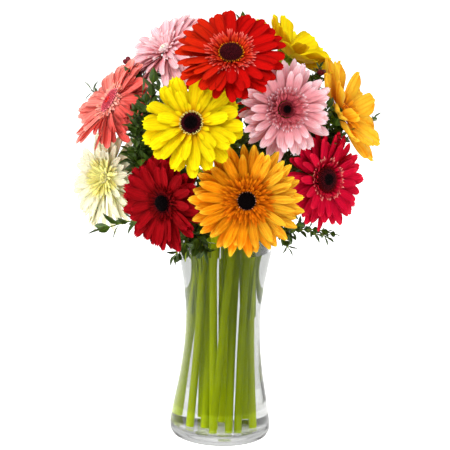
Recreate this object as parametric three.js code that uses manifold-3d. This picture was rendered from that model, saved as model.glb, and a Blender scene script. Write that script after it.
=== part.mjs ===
// Gerberas in a vase: a dozen cut blooms and sprigs of small-leaved green, in a waisted glass vase
// of water. Millimetres, +Z up. The origin is the middle of the vase's foot, and the front of the
// bunch faces -Y.
import * as THREE from "three";
import { mergeVertices } from "three/addons/utils/BufferGeometryUtils.js";
import Module from "manifold-3d";

const wasm = await Module();
wasm.setup();

// Driving dimensions.
const GAP = 0.3; // between pieces that rest on or in each other
const VASE_SIDES = 32;
const VASE_OUTLINE = [
  // radius and height of the outside, from the foot to the rim
  [40, 0],
  [46, 3],
  [48.5, 12],
  [45.6, 30],
  [40, 62],
  [36.5, 94],
  [36.2, 120],
  [38.2, 148],
  [42.4, 177],
];
const RIM = { radius: 47, height: 203, roll: 1.2 };
const WALL = 3.2;
const FLOOR = { radius: 38, height: 10, corner: [42.6, 15] };
const WATER_LEVEL = 187;
const STEM = { radius: 3.4, neck: 3, sides: 8 };
const STEM_BENDS = 6;
// How far the curved part of a stem runs on straight from the water and back from the head, as
// shares of its span.
const STEM_REACH = { water: 0.42, head: 0.34 };
const CALYX = { length: 15, throat: 5.6, belly: 9, rim: 7.6, bract: 11.4, notch: 9.2 };
const HEAD = { core: 8.6, blade: 1, step: 2.6 };
const EYE = { radius: 7.4, sides: 10, knob: 0.5, height: 4.4 };
// How far petals stray round the head and tilt, in degrees, how uneven their sizes are, their width
// against half the head's ring shared among the row, how much a bent-back petal's tip follows, and
// the part of its place on the head that a root takes.
const PETAL = { stray: 3.4, tilt: 4, uneven: 0.12, girth: 1.042, follow: 0.8, rootShare: 0.4 };
const FRINGE = { count: 12, inset: 1, reach: 0.4, width: 5, rise: 24 };
const UPPER_ROW = { inset: 0.6, reach: 0.93, rise: 5 };
const TWIG = { radius: 1.1, tip: 0.6, sides: 3 };
// A leaf's length and what is drawn on top of it, its width as a share of its length, its thickness,
// where it is widest, how far it stands off the twig, and the part of the twig that bears leaves.
const LEAF = {
  length: 14,
  extra: 3,
  slender: 0.48,
  thickness: 0.9,
  widest: 0.45,
  spread: 0.95,
  twist: 0.5,
  leafyShare: 0.62,
  tipShare: 0.985,
};
const BORE = { stemClear: GAP * 1.2, twigClear: GAP * 1.5, above: 6, belowStem: 6, belowTwig: GAP };

const COLOURS = {
  glass: 0xe4eaec,
  water: 0xeef4f2,
  stem: 0x8ea628,
  twig: 0x2f4a1c,
  redOrange: 0xd8240a,
  palePink: 0xf2bcc4,
  coral: 0xf0686a,
  yellow: 0xf2dc10,
  dustyPink: 0xe09aa4,
  deepYellow: 0xe4c410,
  golden: 0xf4ae10,
  crimson: 0xd0102c,
  orange: 0xf09a12,
  darkRed: 0xa00818,
  white: 0xf2f2da,
  dark: 0x2a0812,
  rust: 0xb4333a,
  lime: 0xb8bc28,
  cream: 0xe8dca0,
};

// The blooms. "at" is the middle of the head, "faces" its compass turn from the front and its lift,
// in degrees, "size" its radius, "pitch" the lift of the petals and "curl" how far their tips bend
// forward, "lean" turns the petals on one side further back, and "foot" and "mouth" are where its
// stem stands on the vase's floor and passes the water's face.
const BLOOMS = [
  {
    name: "red_orange",
    at: [0, -88, 390],
    faces: [-2, 51],
    size: 51,
    petals: 15,
    pitch: 6,
    curl: -4,
    colour: COLOURS.redOrange,
    eye: COLOURS.dark,
    foot: [2, 10],
    mouth: [-1, -2],
  },
  {
    name: "pale_pink",
    at: [-59, -8, 376],
    faces: [-65, 45],
    size: 46,
    petals: 14,
    pitch: -6,
    curl: -8,
    lean: { towards: 0, amount: 10 },
    colour: COLOURS.palePink,
    eye: COLOURS.cream,
    foot: [-10, 22],
    mouth: [-8, 19],
  },
  {
    name: "coral",
    at: [-108, -20, 328],
    faces: [-76, 32],
    size: 48,
    petals: 14,
    pitch: 0,
    curl: -4,
    lean: { towards: 0, amount: 24 },
    colour: COLOURS.coral,
    eye: COLOURS.rust,
    foot: [-12, -16],
    mouth: [-8, 8],
  },
  {
    name: "yellow",
    at: [-33, -114, 332],
    faces: [-12, 25],
    size: 46,
    petals: 14,
    pitch: 6,
    curl: -4,
    colour: COLOURS.yellow,
    eye: COLOURS.dark,
    foot: [-5, -17],
    mouth: [-10, -22],
  },
  {
    name: "dusty_pink",
    at: [50, -92, 343],
    faces: [18, 15],
    size: 43,
    petals: 14,
    pitch: 6,
    curl: -4,
    colour: COLOURS.dustyPink,
    eye: COLOURS.dark,
    foot: [8, -30],
    mouth: [8, -6],
  },
  {
    name: "deep_yellow",
    at: [54, -8, 378],
    faces: [80, 56],
    size: 46,
    petals: 14,
    pitch: 16,
    curl: 2,
    colour: COLOURS.deepYellow,
    eye: COLOURS.dark,
    foot: [16, 20],
    mouth: [12, 12],
  },
  {
    name: "golden",
    at: [103, -36, 328],
    faces: [70, 26],
    size: 54,
    petals: 14,
    pitch: 14,
    curl: 4,
    colour: COLOURS.golden,
    eye: COLOURS.orange,
    foot: [27, -12],
    mouth: [19, -4],
  },
  {
    name: "crimson",
    at: [88, -68, 273],
    faces: [42, 11],
    size: 46,
    petals: 14,
    pitch: 6,
    curl: -2,
    colour: COLOURS.crimson,
    eye: COLOURS.dark,
    foot: [15.5, -26.5],
    mouth: [18, -18],
  },
  {
    name: "orange",
    at: [18, -122, 265],
    faces: [0, 5],
    size: 52,
    petals: 15,
    pitch: 4,
    curl: -5,
    colour: COLOURS.orange,
    eye: COLOURS.dark,
    foot: [-6, -31],
    mouth: [5, -22],
  },
  {
    name: "dark_red",
    at: [-56, -82, 250],
    faces: [-36, 3],
    size: 47,
    petals: 14,
    pitch: 12,
    curl: -4,
    colour: COLOURS.darkRed,
    eye: COLOURS.dark,
    foot: [-24, -12],
    mouth: [-16, -10],
  },
  {
    name: "white",
    at: [-113, 4, 250],
    faces: [-50, 12],
    size: 45,
    petals: 14,
    pitch: -4,
    curl: -6,
    lean: { towards: 0, amount: 14 },
    colour: COLOURS.white,
    eye: COLOURS.lime,
    foot: [-26, 21],
    mouth: [-17, 1],
  },
  {
    name: "back_red",
    at: [-2, 86, 322],
    faces: [180, 28],
    size: 48,
    petals: 14,
    pitch: 4,
    curl: -4,
    colour: COLOURS.redOrange,
    eye: COLOURS.dark,
    foot: [3, 30],
    mouth: [3, 25],
  },
];

// The sprigs: where each stands in the water, where it passes the water's face, and its way up.
const SPRIGS = [
  {
    name: "sprig_left_low",
    foot: [-22, 4, 120],
    mouth: [-24, -2],
    way: [[-36, -14, 207], [-60, -30, 216], [-88, -43, 221], [-113, -47, 214]],
    pairs: 4,
  },
  {
    name: "sprig_left_high",
    foot: [-20, 16, 120],
    mouth: [-22, 14],
    way: [[-45, 24, 240], [-85, 34, 290], [-118, 32, 318], [-132, 27, 330]],
    pairs: 4,
  },
  {
    name: "sprig_left_inner",
    foot: [-15, 2, 120],
    mouth: [-24, -8],
    way: [[-50, -26, 232], [-76, -44, 268], [-80, -55, 300], [-73, -62, 335], [-71, -60, 360]],
    pairs: 5,
  },
  {
    name: "sprig_middle",
    foot: [2, -8, 120],
    mouth: [-2, -12],
    way: [[2, -20, 232], [12, -46, 280], [20, -76, 320], [22, -80, 334]],
    pairs: 5,
  },
  {
    name: "sprig_right_inner",
    foot: [14, -8, 120],
    mouth: [13, -11],
    way: [[18, -24, 232], [42, -52, 270], [60, -78, 300]],
    pairs: 4,
  },
  {
    name: "sprig_right_high",
    foot: [14, 0, 120],
    mouth: [20, 4],
    way: [[46, -12, 240], [70, -38, 290], [85, -60, 326], [90, -68, 342]],
    pairs: 4,
  },
  {
    name: "sprig_right_back",
    foot: [18, 8, 120],
    mouth: [22, 10],
    way: [[66, 24, 246], [114, 34, 290], [138, 28, 311]],
    pairs: 5,
  },
  {
    name: "sprig_right_low",
    foot: [24, -2, 120],
    mouth: [26, -6],
    way: [[40, -20, 207], [62, -38, 214], [84, -46, 215], [100, -47, 210]],
    pairs: 4,
  },
  {
    name: "sprig_over_rim",
    foot: [-20, -4, 120],
    mouth: [-26, -16],
    way: [[-31, -27, 205], [-34, -36, 210], [-36, -43, 200], [-37, -46, 184]],
    pairs: 3,
  },
  {
    name: "sprig_rim_right",
    foot: [22, -12, 120],
    mouth: [26, -16],
    way: [[32, -28, 205], [44, -39, 213], [53, -45, 210], [59, -49, 201]],
    pairs: 2,
  },
  {
    name: "sprig_top_left",
    foot: [-14, 12, 120],
    mouth: [-16, 12],
    way: [[-46, 14, 260], [-80, 15, 318], [-91, 15, 340], [-92, 14, 352]],
    pairs: 4,
  },
  {
    name: "sprig_top_right",
    foot: [8, 6, 120],
    mouth: [8, 4],
    way: [[22, -4, 260], [48, -24, 318], [74, -44, 358], [82, -48, 374]],
    pairs: 4,
  },
  {
    name: "sprig_back_left",
    foot: [-12, 26, 120],
    mouth: [-16, 26],
    way: [[-40, 46, 250], [-58, 62, 300], [-62, 70, 336]],
    pairs: 5,
  },
  {
    name: "sprig_back_right",
    foot: [12, 24, 120],
    mouth: [16, 24],
    way: [[40, 46, 250], [58, 62, 300], [64, 68, 336]],
    pairs: 5,
  },
  {
    name: "sprig_back_low_left",
    foot: [-18, 24, 120],
    mouth: [-20, 22],
    way: [[-26, 29, 206], [-44, 44, 216], [-64, 56, 226], [-84, 66, 228]],
    pairs: 4,
  },
  {
    name: "sprig_back_low_right",
    foot: [18, 24, 120],
    mouth: [22, 20],
    way: [[28, 27, 206], [46, 42, 216], [66, 54, 226], [88, 62, 230]],
    pairs: 4,
  },
  {
    name: "sprig_back_top",
    foot: [-2, 14, 120],
    mouth: [-2, 12],
    way: [[0, 18, 240], [2, 30, 320], [8, 42, 372], [10, 46, 394]],
    pairs: 5,
  },
];

// A seeded draw of numbers from 0 to 1.
function drawFrom(seed) {
  let state = seed;
  return () => {
    state = (state + 0x6d2b79f5) | 0;
    let mixed = Math.imul(state ^ (state >>> 15), 1 | state);
    mixed = (mixed + Math.imul(mixed ^ (mixed >>> 7), 61 | mixed)) ^ mixed;
    return ((mixed ^ (mixed >>> 14)) >>> 0) / 4294967296;
  };
}

// A closed skin is sewn from rings of points. A ring lists its points anticlockwise seen from above,
// each with its turn round the ring, where 1 is once round.
class Skin {
  points = [];
  faces = [];

  point(x, y, z) {
    this.points.push(x, y, z);
    return this.points.length / 3 - 1;
  }

  face(a, b, c) {
    this.faces.push(a, b, c);
  }

  ring(count, place) {
    return Array.from({ length: count }, (_, i) => {
      const turn = i / count;
      return { id: this.point(...place(turn, i)), turn };
    });
  }

  // Sews a ring to the one above or inside it, whatever their counts.
  sew(lower, upper) {
    const turnOf = (ring, i) => ring[i % ring.length].turn + Math.floor(i / ring.length);
    const idOf = (ring, i) => ring[i % ring.length].id;
    let i = 0;
    let j = 0;
    while (i < lower.length || j < upper.length) {
      const lowerIsNext = i < lower.length && turnOf(lower, i + 1) <= turnOf(upper, j + 1);
      if (j >= upper.length || lowerIsNext) {
        this.face(idOf(lower, i), idOf(lower, i + 1), idOf(upper, j));
        i += 1;
      } else {
        this.face(idOf(lower, i), idOf(upper, j + 1), idOf(upper, j));
        j += 1;
      }
    }
  }

  // Closes a ring with a fan round one point, facing up or down.
  fan(ring, centre, up) {
    ring.forEach((here, i) => {
      const next = ring[(i + 1) % ring.length];
      if (up) this.face(centre, here.id, next.id);
      else this.face(centre, next.id, here.id);
    });
  }

  geometry(matrix) {
    const made = new THREE.BufferGeometry();
    made.setAttribute("position", new THREE.Float32BufferAttribute(this.points, 3));
    made.setIndex(this.faces);
    if (matrix) made.applyMatrix4(matrix);
    return made;
  }
}

function solidOf(geometry) {
  const bare = geometry.clone();
  bare.deleteAttribute("normal");
  bare.deleteAttribute("uv");
  const merged = mergeVertices(bare, 1e-3);
  const mesh = new wasm.Mesh({
    numProp: 3,
    vertProperties: new Float32Array(merged.attributes.position.array),
    triVerts: new Uint32Array(merged.index.array),
  });
  return new wasm.Manifold(mesh);
}

function geometryOf(solid) {
  const mesh = solid.getMesh();
  const made = new THREE.BufferGeometry();
  made.setAttribute("position", new THREE.BufferAttribute(mesh.vertProperties, 3));
  made.setIndex(new THREE.BufferAttribute(mesh.triVerts, 1));
  return made;
}

function finish(colour, roughness, extra = {}) {
  return new THREE.MeshStandardMaterial({ color: colour, roughness, metalness: 0, ...extra });
}

function meshOf(name, geometry, material) {
  const mesh = new THREE.Mesh(geometry, material);
  mesh.name = name;
  return mesh;
}

// A profile of [radius, height] points turned about the Z axis.
function turned(profile) {
  const points = profile.map(([radius, height]) => new THREE.Vector2(radius, height));
  const lathe = new THREE.LatheGeometry(points, VASE_SIDES);
  lathe.rotateX(Math.PI / 2);
  return lathe;
}

// The inside of the glass, from the floor's edge to the rim.
function insideWall() {
  const above = VASE_OUTLINE.filter(([, height]) => height > FLOOR.corner[1]);
  return [FLOOR.corner, ...above.map(([radius, height]) => [radius - WALL, height])];
}

function vase() {
  const inner = [[0, FLOOR.height], [FLOOR.radius, FLOOR.height], ...insideWall()];
  const lip = [
    [RIM.radius - WALL, RIM.height - RIM.roll],
    [RIM.radius - WALL + RIM.roll, RIM.height],
    [RIM.radius - RIM.roll, RIM.height],
    [RIM.radius, RIM.height - RIM.roll],
  ];
  const outer = [...VASE_OUTLINE].reverse();
  const profile = [...inner, ...lip, ...outer, [0, 0]].reverse();
  return geometryOf(solidOf(turned(profile)));
}

// The radius of the inside wall at a height, for the water that fills it.
function insideRadiusAt(height) {
  const wall = [...insideWall(), [RIM.radius - WALL, RIM.height - RIM.roll]];
  const above = wall.findIndex(([, level]) => level >= height);
  const [[lowRadius, low], [highRadius, high]] = [wall[above - 1], wall[above]];
  return THREE.MathUtils.mapLinear(height, low, high, lowRadius, highRadius);
}

// A tube along a list of places. Each station has its own radius, or one for each point round it.
function tube(stations, sides) {
  const skin = new Skin();
  const places = stations.map(({ place }) => place);
  const headingAt = (i) =>
    new THREE.Vector3()
      .subVectors(places[Math.min(i + 1, places.length - 1)], places[Math.max(i - 1, 0)])
      .normalize();
  const side = new THREE.Vector3(1, 0, 0);
  let below = null;
  stations.forEach(({ place, radius, sides: own }, i) => {
    const heading = i === 0 ? places[1].clone().sub(places[0]).normalize() : headingAt(i);
    side.addScaledVector(heading, -side.dot(heading)).normalize();
    const across = new THREE.Vector3().crossVectors(heading, side);
    const ring = skin.ring(own ?? sides, (turn, k) => {
      const angle = turn * 2 * Math.PI;
      const reach = typeof radius === "function" ? radius(turn, k) : radius;
      const spot = place
        .clone()
        .addScaledVector(side, reach * Math.cos(angle))
        .addScaledVector(across, reach * Math.sin(angle));
      return spot.toArray();
    });
    if (below) skin.sew(below, ring);
    else skin.fan(ring, skin.point(...place.toArray()), false);
    below = ring;
  });
  skin.fan(below, skin.point(...places.at(-1).toArray()), true);
  return skin;
}

// The turn of a bloom: its own +Z is the way it faces.
function facing(bloom) {
  const [compass, lift] = bloom.faces.map(THREE.MathUtils.degToRad);
  return new THREE.Vector3(
    Math.sin(compass) * Math.cos(lift),
    -Math.cos(compass) * Math.cos(lift),
    Math.sin(lift),
  );
}

function placeOf(bloom) {
  const ahead = facing(bloom);
  const level = new THREE.Vector3(0, 0, 1).cross(ahead).normalize();
  const up = new THREE.Vector3().crossVectors(ahead, level);
  return new THREE.Matrix4().makeBasis(level, up, ahead).setPosition(...bloom.at);
}

// One layer of petals round the head. Each petal starts from two edge points and a keel under them,
// and its blade runs out over a waist and a shoulder to its tip. Returns the layer's upper and lower
// rings.
function petalLayer(skin, layer, draw) {
  const { count, core, height, reach, width, pitch, curl, lean, offset } = layer;
  const upper = [];
  const lower = [];
  for (let k = 0; k < count; k += 1) {
    const turn = (k + offset) / count;
    const angle = turn * 2 * Math.PI + THREE.MathUtils.degToRad((draw() - 0.5) * PETAL.stray);
    const back = lean ? lean.amount * Math.max(0, Math.cos(angle - lean.towards)) : 0;
    const tilt = THREE.MathUtils.degToRad(pitch - back + (draw() - 0.5) * PETAL.tilt);
    const length = (reach - core) * (1 + (draw() - 0.5) * PETAL.uneven);
    const girth = width * (1 + (draw() - 0.5) * PETAL.uneven);
    const bend = THREE.MathUtils.degToRad(curl * 2 - back * PETAL.follow);
    // Along the blade: how far out, how high, with the blade bending evenly from its root.
    const spine = (share) => {
      const lift = tilt + (bend * share) / 2;
      return [core + length * share * Math.cos(lift), height + length * share * Math.sin(lift)];
    };
    const spot = (share, across, drop) => {
      const [out, high] = spine(share);
      return skin.point(
        out * Math.cos(angle) - across * Math.sin(angle),
        out * Math.sin(angle) + across * Math.cos(angle),
        high - drop,
      );
    };
    const section = ([share, half, drop]) => ({
      left: spot(share, -half, 0),
      keel: spot(share, 0, drop),
      right: spot(share, half, 0),
    });
    const [root, ...blade] = layer.stations.map(([share, wide, thick]) =>
      section([share, girth * wide, thick * HEAD.blade]),
    );
    const tip = spot(1, 0, 0);
    let last = root;
    for (const next of blade) {
      skin.face(last.left, next.left, next.right);
      skin.face(last.left, next.right, last.right);
      skin.face(last.left, last.keel, next.keel);
      skin.face(last.left, next.keel, next.left);
      skin.face(last.keel, last.right, next.right);
      skin.face(last.keel, next.right, next.keel);
      last = next;
    }
    skin.face(last.left, tip, last.right);
    skin.face(last.left, last.keel, tip);
    skin.face(last.keel, last.right, tip);
    const aside = PETAL.rootShare / 2 / count;
    const left = { id: root.left, turn: turn - aside };
    const right = { id: root.right, turn: turn + aside };
    upper.push(left, right);
    lower.push(left, { id: root.keel, turn }, right);
  }
  return { upper, lower };
}

const PETAL_STATIONS = [
  // share of the length, half width and thickness, each against the petal's own
  [0, 0.14, 1],
  [0.5, 0.46, 1],
  [0.86, 0.42, 0.8],
];
const FRINGE_STATIONS = [[0, 0.3, 0.8]];
const EYE_RINGS = [
  // radius and height, each against the eye's own
  [1, 0],
  [1.05, 0.36],
  [0.72, 0.86],
  [0.4, 0.82],
];
const CUP_STATIONS = [
  // share of the calyx's length, and radius
  [0.3, CALYX.throat],
  [0.6, CALYX.belly],
  [1, CALYX.rim],
];
const BRACT_SHARE = 0.86;

function petals(bloom, index) {
  const draw = drawFrom(101 + index);
  const skin = new Skin();
  const { size, petals: count, pitch, curl, lean } = bloom;
  const width = (size * Math.PI * PETAL.girth) / count;
  const shared = { count, width, curl, lean, stations: PETAL_STATIONS };
  const layers = [
    { ...shared, core: HEAD.core, height: 0, reach: size, pitch, offset: 0.5 },
    {
      ...shared,
      core: HEAD.core - UPPER_ROW.inset,
      height: HEAD.step,
      reach: size * UPPER_ROW.reach,
      pitch: pitch + UPPER_ROW.rise,
      offset: 1,
    },
    {
      count: FRINGE.count,
      core: HEAD.core - FRINGE.inset,
      height: HEAD.step * 2,
      reach: size * FRINGE.reach,
      width: FRINGE.width,
      pitch: pitch + FRINGE.rise,
      curl: 0,
      offset: 0.5,
      stations: FRINGE_STATIONS,
    },
  ];
  let below = null;
  for (const layer of layers) {
    const { upper, lower } = petalLayer(skin, layer, draw);
    if (below) skin.sew(below, lower);
    else skin.fan(lower, skin.point(0, 0, -HEAD.blade), false);
    below = upper;
  }
  skin.fan(below, skin.point(0, 0, HEAD.step * 2), true);
  return skin.geometry(placeOf(bloom));
}

// The disc of tiny florets: a low dome, knobbly round its shoulder.
function eye(bloom) {
  const skin = new Skin();
  const base = HEAD.step * 2 + GAP;
  const rings = EYE_RINGS.map(([reach, rise], level) =>
    skin.ring(EYE.sides, (turn, i) => {
      const knob = level > 0 && i % 2 === level % 2 ? EYE.knob : 0;
      const angle = turn * 2 * Math.PI;
      const radius = EYE.radius * reach - knob;
      return [radius * Math.cos(angle), radius * Math.sin(angle), base + EYE.height * rise + knob];
    }),
  );
  skin.fan(rings[0], skin.point(0, 0, base), false);
  rings.slice(1).forEach((ring, i) => skin.sew(rings[i], ring));
  skin.fan(rings.at(-1), skin.point(0, 0, base + EYE.height), true);
  return skin.geometry(placeOf(bloom));
}

// Where a bloom's stem stands and where it passes the water's face. The foot is raised by what its
// lean takes off the low side of its cut end.
function stance(bloom) {
  const mouth = new THREE.Vector3(...bloom.mouth, WATER_LEVEL);
  const floor = FLOOR.height + GAP;
  const aside = Math.hypot(bloom.mouth[0] - bloom.foot[0], bloom.mouth[1] - bloom.foot[1]);
  const lean = aside / (WATER_LEVEL - floor);
  const foot = new THREE.Vector3(...bloom.foot, floor + STEM.radius * lean);
  return { foot, mouth };
}

// The places of a bloom's stem, from the vase's floor through the water and up to the head.
function stemStations(bloom) {
  const { foot, mouth } = stance(bloom);
  const head = new THREE.Vector3(...bloom.at);
  const ahead = facing(bloom);
  const neck = head.clone().addScaledVector(ahead, -CALYX.length - HEAD.blade - GAP);
  const rise = mouth.clone().sub(foot).normalize();
  const span = neck.distanceTo(mouth);
  const curve = new THREE.CubicBezierCurve3(
    mouth,
    mouth.clone().addScaledVector(rise, span * STEM_REACH.water),
    neck.clone().addScaledVector(ahead, -span * STEM_REACH.head),
    neck,
  );
  const along = curve.getPoints(STEM_BENDS).map((place, i) => ({
    place,
    radius: THREE.MathUtils.lerp(STEM.radius, STEM.neck, i / STEM_BENDS),
  }));
  return [{ place: foot, radius: STEM.radius }, ...along];
}

// A stem and the green cup of bracts under its head, their points standing out round the rim.
function stem(bloom) {
  const ahead = facing(bloom);
  const stations = stemStations(bloom);
  const neck = stations.at(-1).place;
  const placeAt = (share) => neck.clone().addScaledVector(ahead, share * CALYX.length);
  const cup = CUP_STATIONS.map(([share, radius]) => ({ place: placeAt(share), radius }));
  cup.splice(-1, 0, {
    place: placeAt(BRACT_SHARE),
    radius: (turn, i) => (i % 2 ? CALYX.notch : CALYX.bract),
    sides: STEM.sides * 2,
  });
  return tube([...stations, ...cup], STEM.sides).geometry();
}

// The two straight ends and the bent way of a sprig's twig.
function twigStations(sprig) {
  const foot = new THREE.Vector3(...sprig.foot);
  const mouth = new THREE.Vector3(...sprig.mouth, WATER_LEVEL);
  const bend = mouth.clone().add(mouth.clone().sub(foot).normalize().multiplyScalar(GAP * 10));
  const way = sprig.way.map((spot) => new THREE.Vector3(...spot));
  const curve = new THREE.CatmullRomCurve3([bend, ...way]);
  const steps = sprig.way.length + 2;
  const along = curve.getPoints(steps);
  const bent = along.map((place, i) => ({
    place,
    radius: THREE.MathUtils.lerp(TWIG.radius, TWIG.tip, i / steps),
  }));
  return [{ place: foot, radius: TWIG.radius }, ...bent];
}

// A leaf: a pointed oval with a keel under its rib, from a root on the twig's axis.
function leaf(root, ahead, flat, length, width) {
  const skin = new Skin();
  const across = new THREE.Vector3().crossVectors(flat, ahead);
  const spot = (along, side, drop) =>
    skin.point(
      ...root
        .clone()
        .addScaledVector(ahead, along)
        .addScaledVector(across, side)
        .addScaledVector(flat, -drop)
        .toArray(),
    );
  const base = spot(0, 0, 0);
  const left = spot(length * LEAF.widest, width / 2, 0);
  const right = spot(length * LEAF.widest, -width / 2, 0);
  const keel = spot(length * LEAF.widest, 0, LEAF.thickness);
  const tip = spot(length, 0, 0);
  skin.face(base, right, left);
  skin.face(left, right, tip);
  skin.face(base, left, keel);
  skin.face(base, keel, right);
  skin.face(left, tip, keel);
  skin.face(keel, tip, right);
  return skin.geometry();
}

// A sprig: a twig with pairs of leaves, each pair a quarter turn on from the last, and one at its tip.
function sprig(sprigRow, index) {
  const draw = drawFrom(401 + index);
  const stations = twigStations(sprigRow);
  const places = stations.slice(1).map(({ place }) => place);
  const line = new THREE.CurvePath();
  places.slice(1).forEach((place, i) => line.add(new THREE.LineCurve3(places[i], place)));
  let body = solidOf(tube(stations, TWIG.sides).geometry());
  const { pairs } = sprigRow;
  const up = new THREE.Vector3(0, 0, 1);
  const grow = (share, turn, spread, length) => {
    const root = line.getPointAt(share);
    const heading = line.getTangentAt(share);
    const side = new THREE.Vector3().crossVectors(up, heading).normalize().applyAxisAngle(heading, turn);
    const ahead = heading
      .clone()
      .multiplyScalar(Math.cos(spread))
      .addScaledVector(side, Math.sin(spread));
    const flat = new THREE.Vector3().crossVectors(side, heading);
    body = body.add(solidOf(leaf(root, ahead, flat, length, length * LEAF.slender)));
  };
  for (let k = 0; k < pairs; k += 1) {
    const share = 1 - LEAF.leafyShare * (1 - (k + 0.3) / pairs);
    const turn = ((k % 2) * Math.PI) / 2 + draw() * LEAF.twist;
    const length = LEAF.length + draw() * LEAF.extra;
    grow(share, turn, LEAF.spread, length);
    grow(share, turn + Math.PI, LEAF.spread, length);
  }
  grow(LEAF.tipShare, 0, 0, LEAF.length);
  return geometryOf(body);
}

// The water: the inside of the vase up to its level, with a plain hole for each stem.
function water() {
  const floor = FLOOR.height + GAP;
  const wall = insideWall().filter(([, height]) => height < WATER_LEVEL);
  const profile = [
    [0, floor],
    [FLOOR.radius - GAP, floor],
    ...wall.map(([radius, height]) => [radius - GAP, height]),
    [insideRadiusAt(WATER_LEVEL) - GAP, WATER_LEVEL],
    [0, WATER_LEVEL],
  ];
  let body = solidOf(turned(profile));
  const bore = (foot, mouth, radius, below, sides) => {
    const rise = mouth.clone().sub(foot).normalize();
    const low = foot.clone().addScaledVector(rise, -below);
    const high = mouth.clone().addScaledVector(rise, BORE.above);
    const hole = tube([low, high].map((place) => ({ place, radius })), sides);
    body = body.subtract(solidOf(hole.geometry()));
  };
  for (const bloom of BLOOMS) {
    const { foot, mouth } = stance(bloom);
    bore(foot, mouth, STEM.radius + BORE.stemClear, BORE.belowStem, STEM.sides);
  }
  for (const { foot, mouth } of SPRIGS) {
    const from = new THREE.Vector3(...foot);
    const to = new THREE.Vector3(...mouth, WATER_LEVEL);
    bore(from, to, TWIG.radius + BORE.twigClear, BORE.belowTwig, TWIG.sides);
  }
  return geometryOf(body);
}

const bunch = new THREE.Group();
bunch.add(meshOf("vase", vase(), finish(COLOURS.glass, 0.05, { transparent: true, opacity: 0.35 })));
bunch.add(meshOf("water", water(), finish(COLOURS.water, 0.05, { transparent: true, opacity: 0.2 })));
BLOOMS.forEach((bloom, index) => {
  const { name } = bloom;
  bunch.add(meshOf(`${name}_petals`, petals(bloom, index), finish(bloom.colour, 0.6)));
  bunch.add(meshOf(`${name}_eye`, eye(bloom), finish(bloom.eye, 0.8)));
  bunch.add(meshOf(`${name}_stem`, stem(bloom), finish(COLOURS.stem, 0.55)));
});
SPRIGS.forEach((row, index) => {
  bunch.add(meshOf(row.name, sprig(row, index), finish(COLOURS.twig, 0.6)));
});

export default bunch;
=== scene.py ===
# %% [markdown]
# # Gerberas in a vase
# A mixed bunch of cut gerberas with sprigs of small-leaved green, in a waisted glass vase of water.
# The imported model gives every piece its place. Here each head, stem, sprig, the glass and the water
# are made again as fine surfaces, worked out with numpy, and given a finish.

import math

import bpy
import numpy as np
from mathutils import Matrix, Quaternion, Vector


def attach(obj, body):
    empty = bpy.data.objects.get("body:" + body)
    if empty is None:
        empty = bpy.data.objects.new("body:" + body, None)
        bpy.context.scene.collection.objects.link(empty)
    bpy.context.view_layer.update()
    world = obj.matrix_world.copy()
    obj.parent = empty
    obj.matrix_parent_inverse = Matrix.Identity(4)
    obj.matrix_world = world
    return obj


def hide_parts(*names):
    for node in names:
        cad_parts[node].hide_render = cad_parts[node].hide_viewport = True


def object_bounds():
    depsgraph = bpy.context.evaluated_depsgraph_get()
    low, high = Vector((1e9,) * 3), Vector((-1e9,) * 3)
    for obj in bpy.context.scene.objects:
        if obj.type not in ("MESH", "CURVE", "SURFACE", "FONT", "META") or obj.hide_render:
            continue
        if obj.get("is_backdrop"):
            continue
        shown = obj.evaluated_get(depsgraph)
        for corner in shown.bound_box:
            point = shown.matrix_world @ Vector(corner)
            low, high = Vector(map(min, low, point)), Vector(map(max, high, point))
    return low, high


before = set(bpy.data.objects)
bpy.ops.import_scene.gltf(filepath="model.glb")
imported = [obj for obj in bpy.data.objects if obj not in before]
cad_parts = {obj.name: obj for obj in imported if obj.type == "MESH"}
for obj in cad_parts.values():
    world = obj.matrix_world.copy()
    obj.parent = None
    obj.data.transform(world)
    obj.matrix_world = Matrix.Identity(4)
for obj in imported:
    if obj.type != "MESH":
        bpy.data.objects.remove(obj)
CAD_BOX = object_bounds()
MM = 0.001
print("nodes in the packed model:", len(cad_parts))

# %% [markdown]
# ## Camera
# A long lens from well back keeps the bunch nearly free of perspective, as in a catalogue picture. A
# camera with no perspective at all would be simpler, but the heads at the back are a little smaller
# in the picture. It looks down by fifteen degrees and is rolled a little, so the bunch leans right.

# %% The camera
# lift and roll in degrees, distance in metres, and the point that it looks at in mm
CAMERA = {"lift": 15.0, "distance": 2.6, "roll": 1.77, "target": (-0.85, -1.7, 208.8)}
MM_PER_PIXEL = 0.951
IMAGE_WIDTH = 450
# the sensor's width in mm, and how far the camera sees, in metres
SENSOR = 36.0
SIGHT_END = 50.0


def direction(compass, lift):
    """Unit vector at a compass turn from the front, -Y, and a lift above level, both in degrees."""
    turn, rise = math.radians(compass), math.radians(lift)
    return np.array([math.sin(turn) * math.cos(rise), -math.cos(turn) * math.cos(rise), math.sin(rise)])


camera_data = bpy.data.cameras.new("camera")
camera = bpy.data.objects.new("camera", camera_data)
bpy.context.scene.collection.objects.link(camera)
bpy.context.scene.camera = camera
back = direction(0.0, CAMERA["lift"])
camera.location = Vector(np.array(CAMERA["target"]) * MM + back * CAMERA["distance"])
facing_down = Vector(-back).to_track_quat("-Z", "Y")
camera.rotation_mode = "QUATERNION"
camera.rotation_quaternion = facing_down @ Quaternion((0, 0, 1), math.radians(CAMERA["roll"]))
camera_data.sensor_width = SENSOR
camera_data.lens = SENSOR * CAMERA["distance"] / (IMAGE_WIDTH * MM_PER_PIXEL * MM)
camera_data.clip_end = SIGHT_END
print("lens in mm:", round(camera_data.lens, 1))

# %% [markdown]
# ## Node helpers
# A finish is a tree of small nodes joined by links, and so is the light of the room. Written out in
# full that gets long. These helpers add a node, put a number or a link on its sockets, and name the
# few patterns that come back in most finishes.

# %% Short ways to add nodes
WHITE = (1.0, 1.0, 1.0, 1.0)


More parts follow.
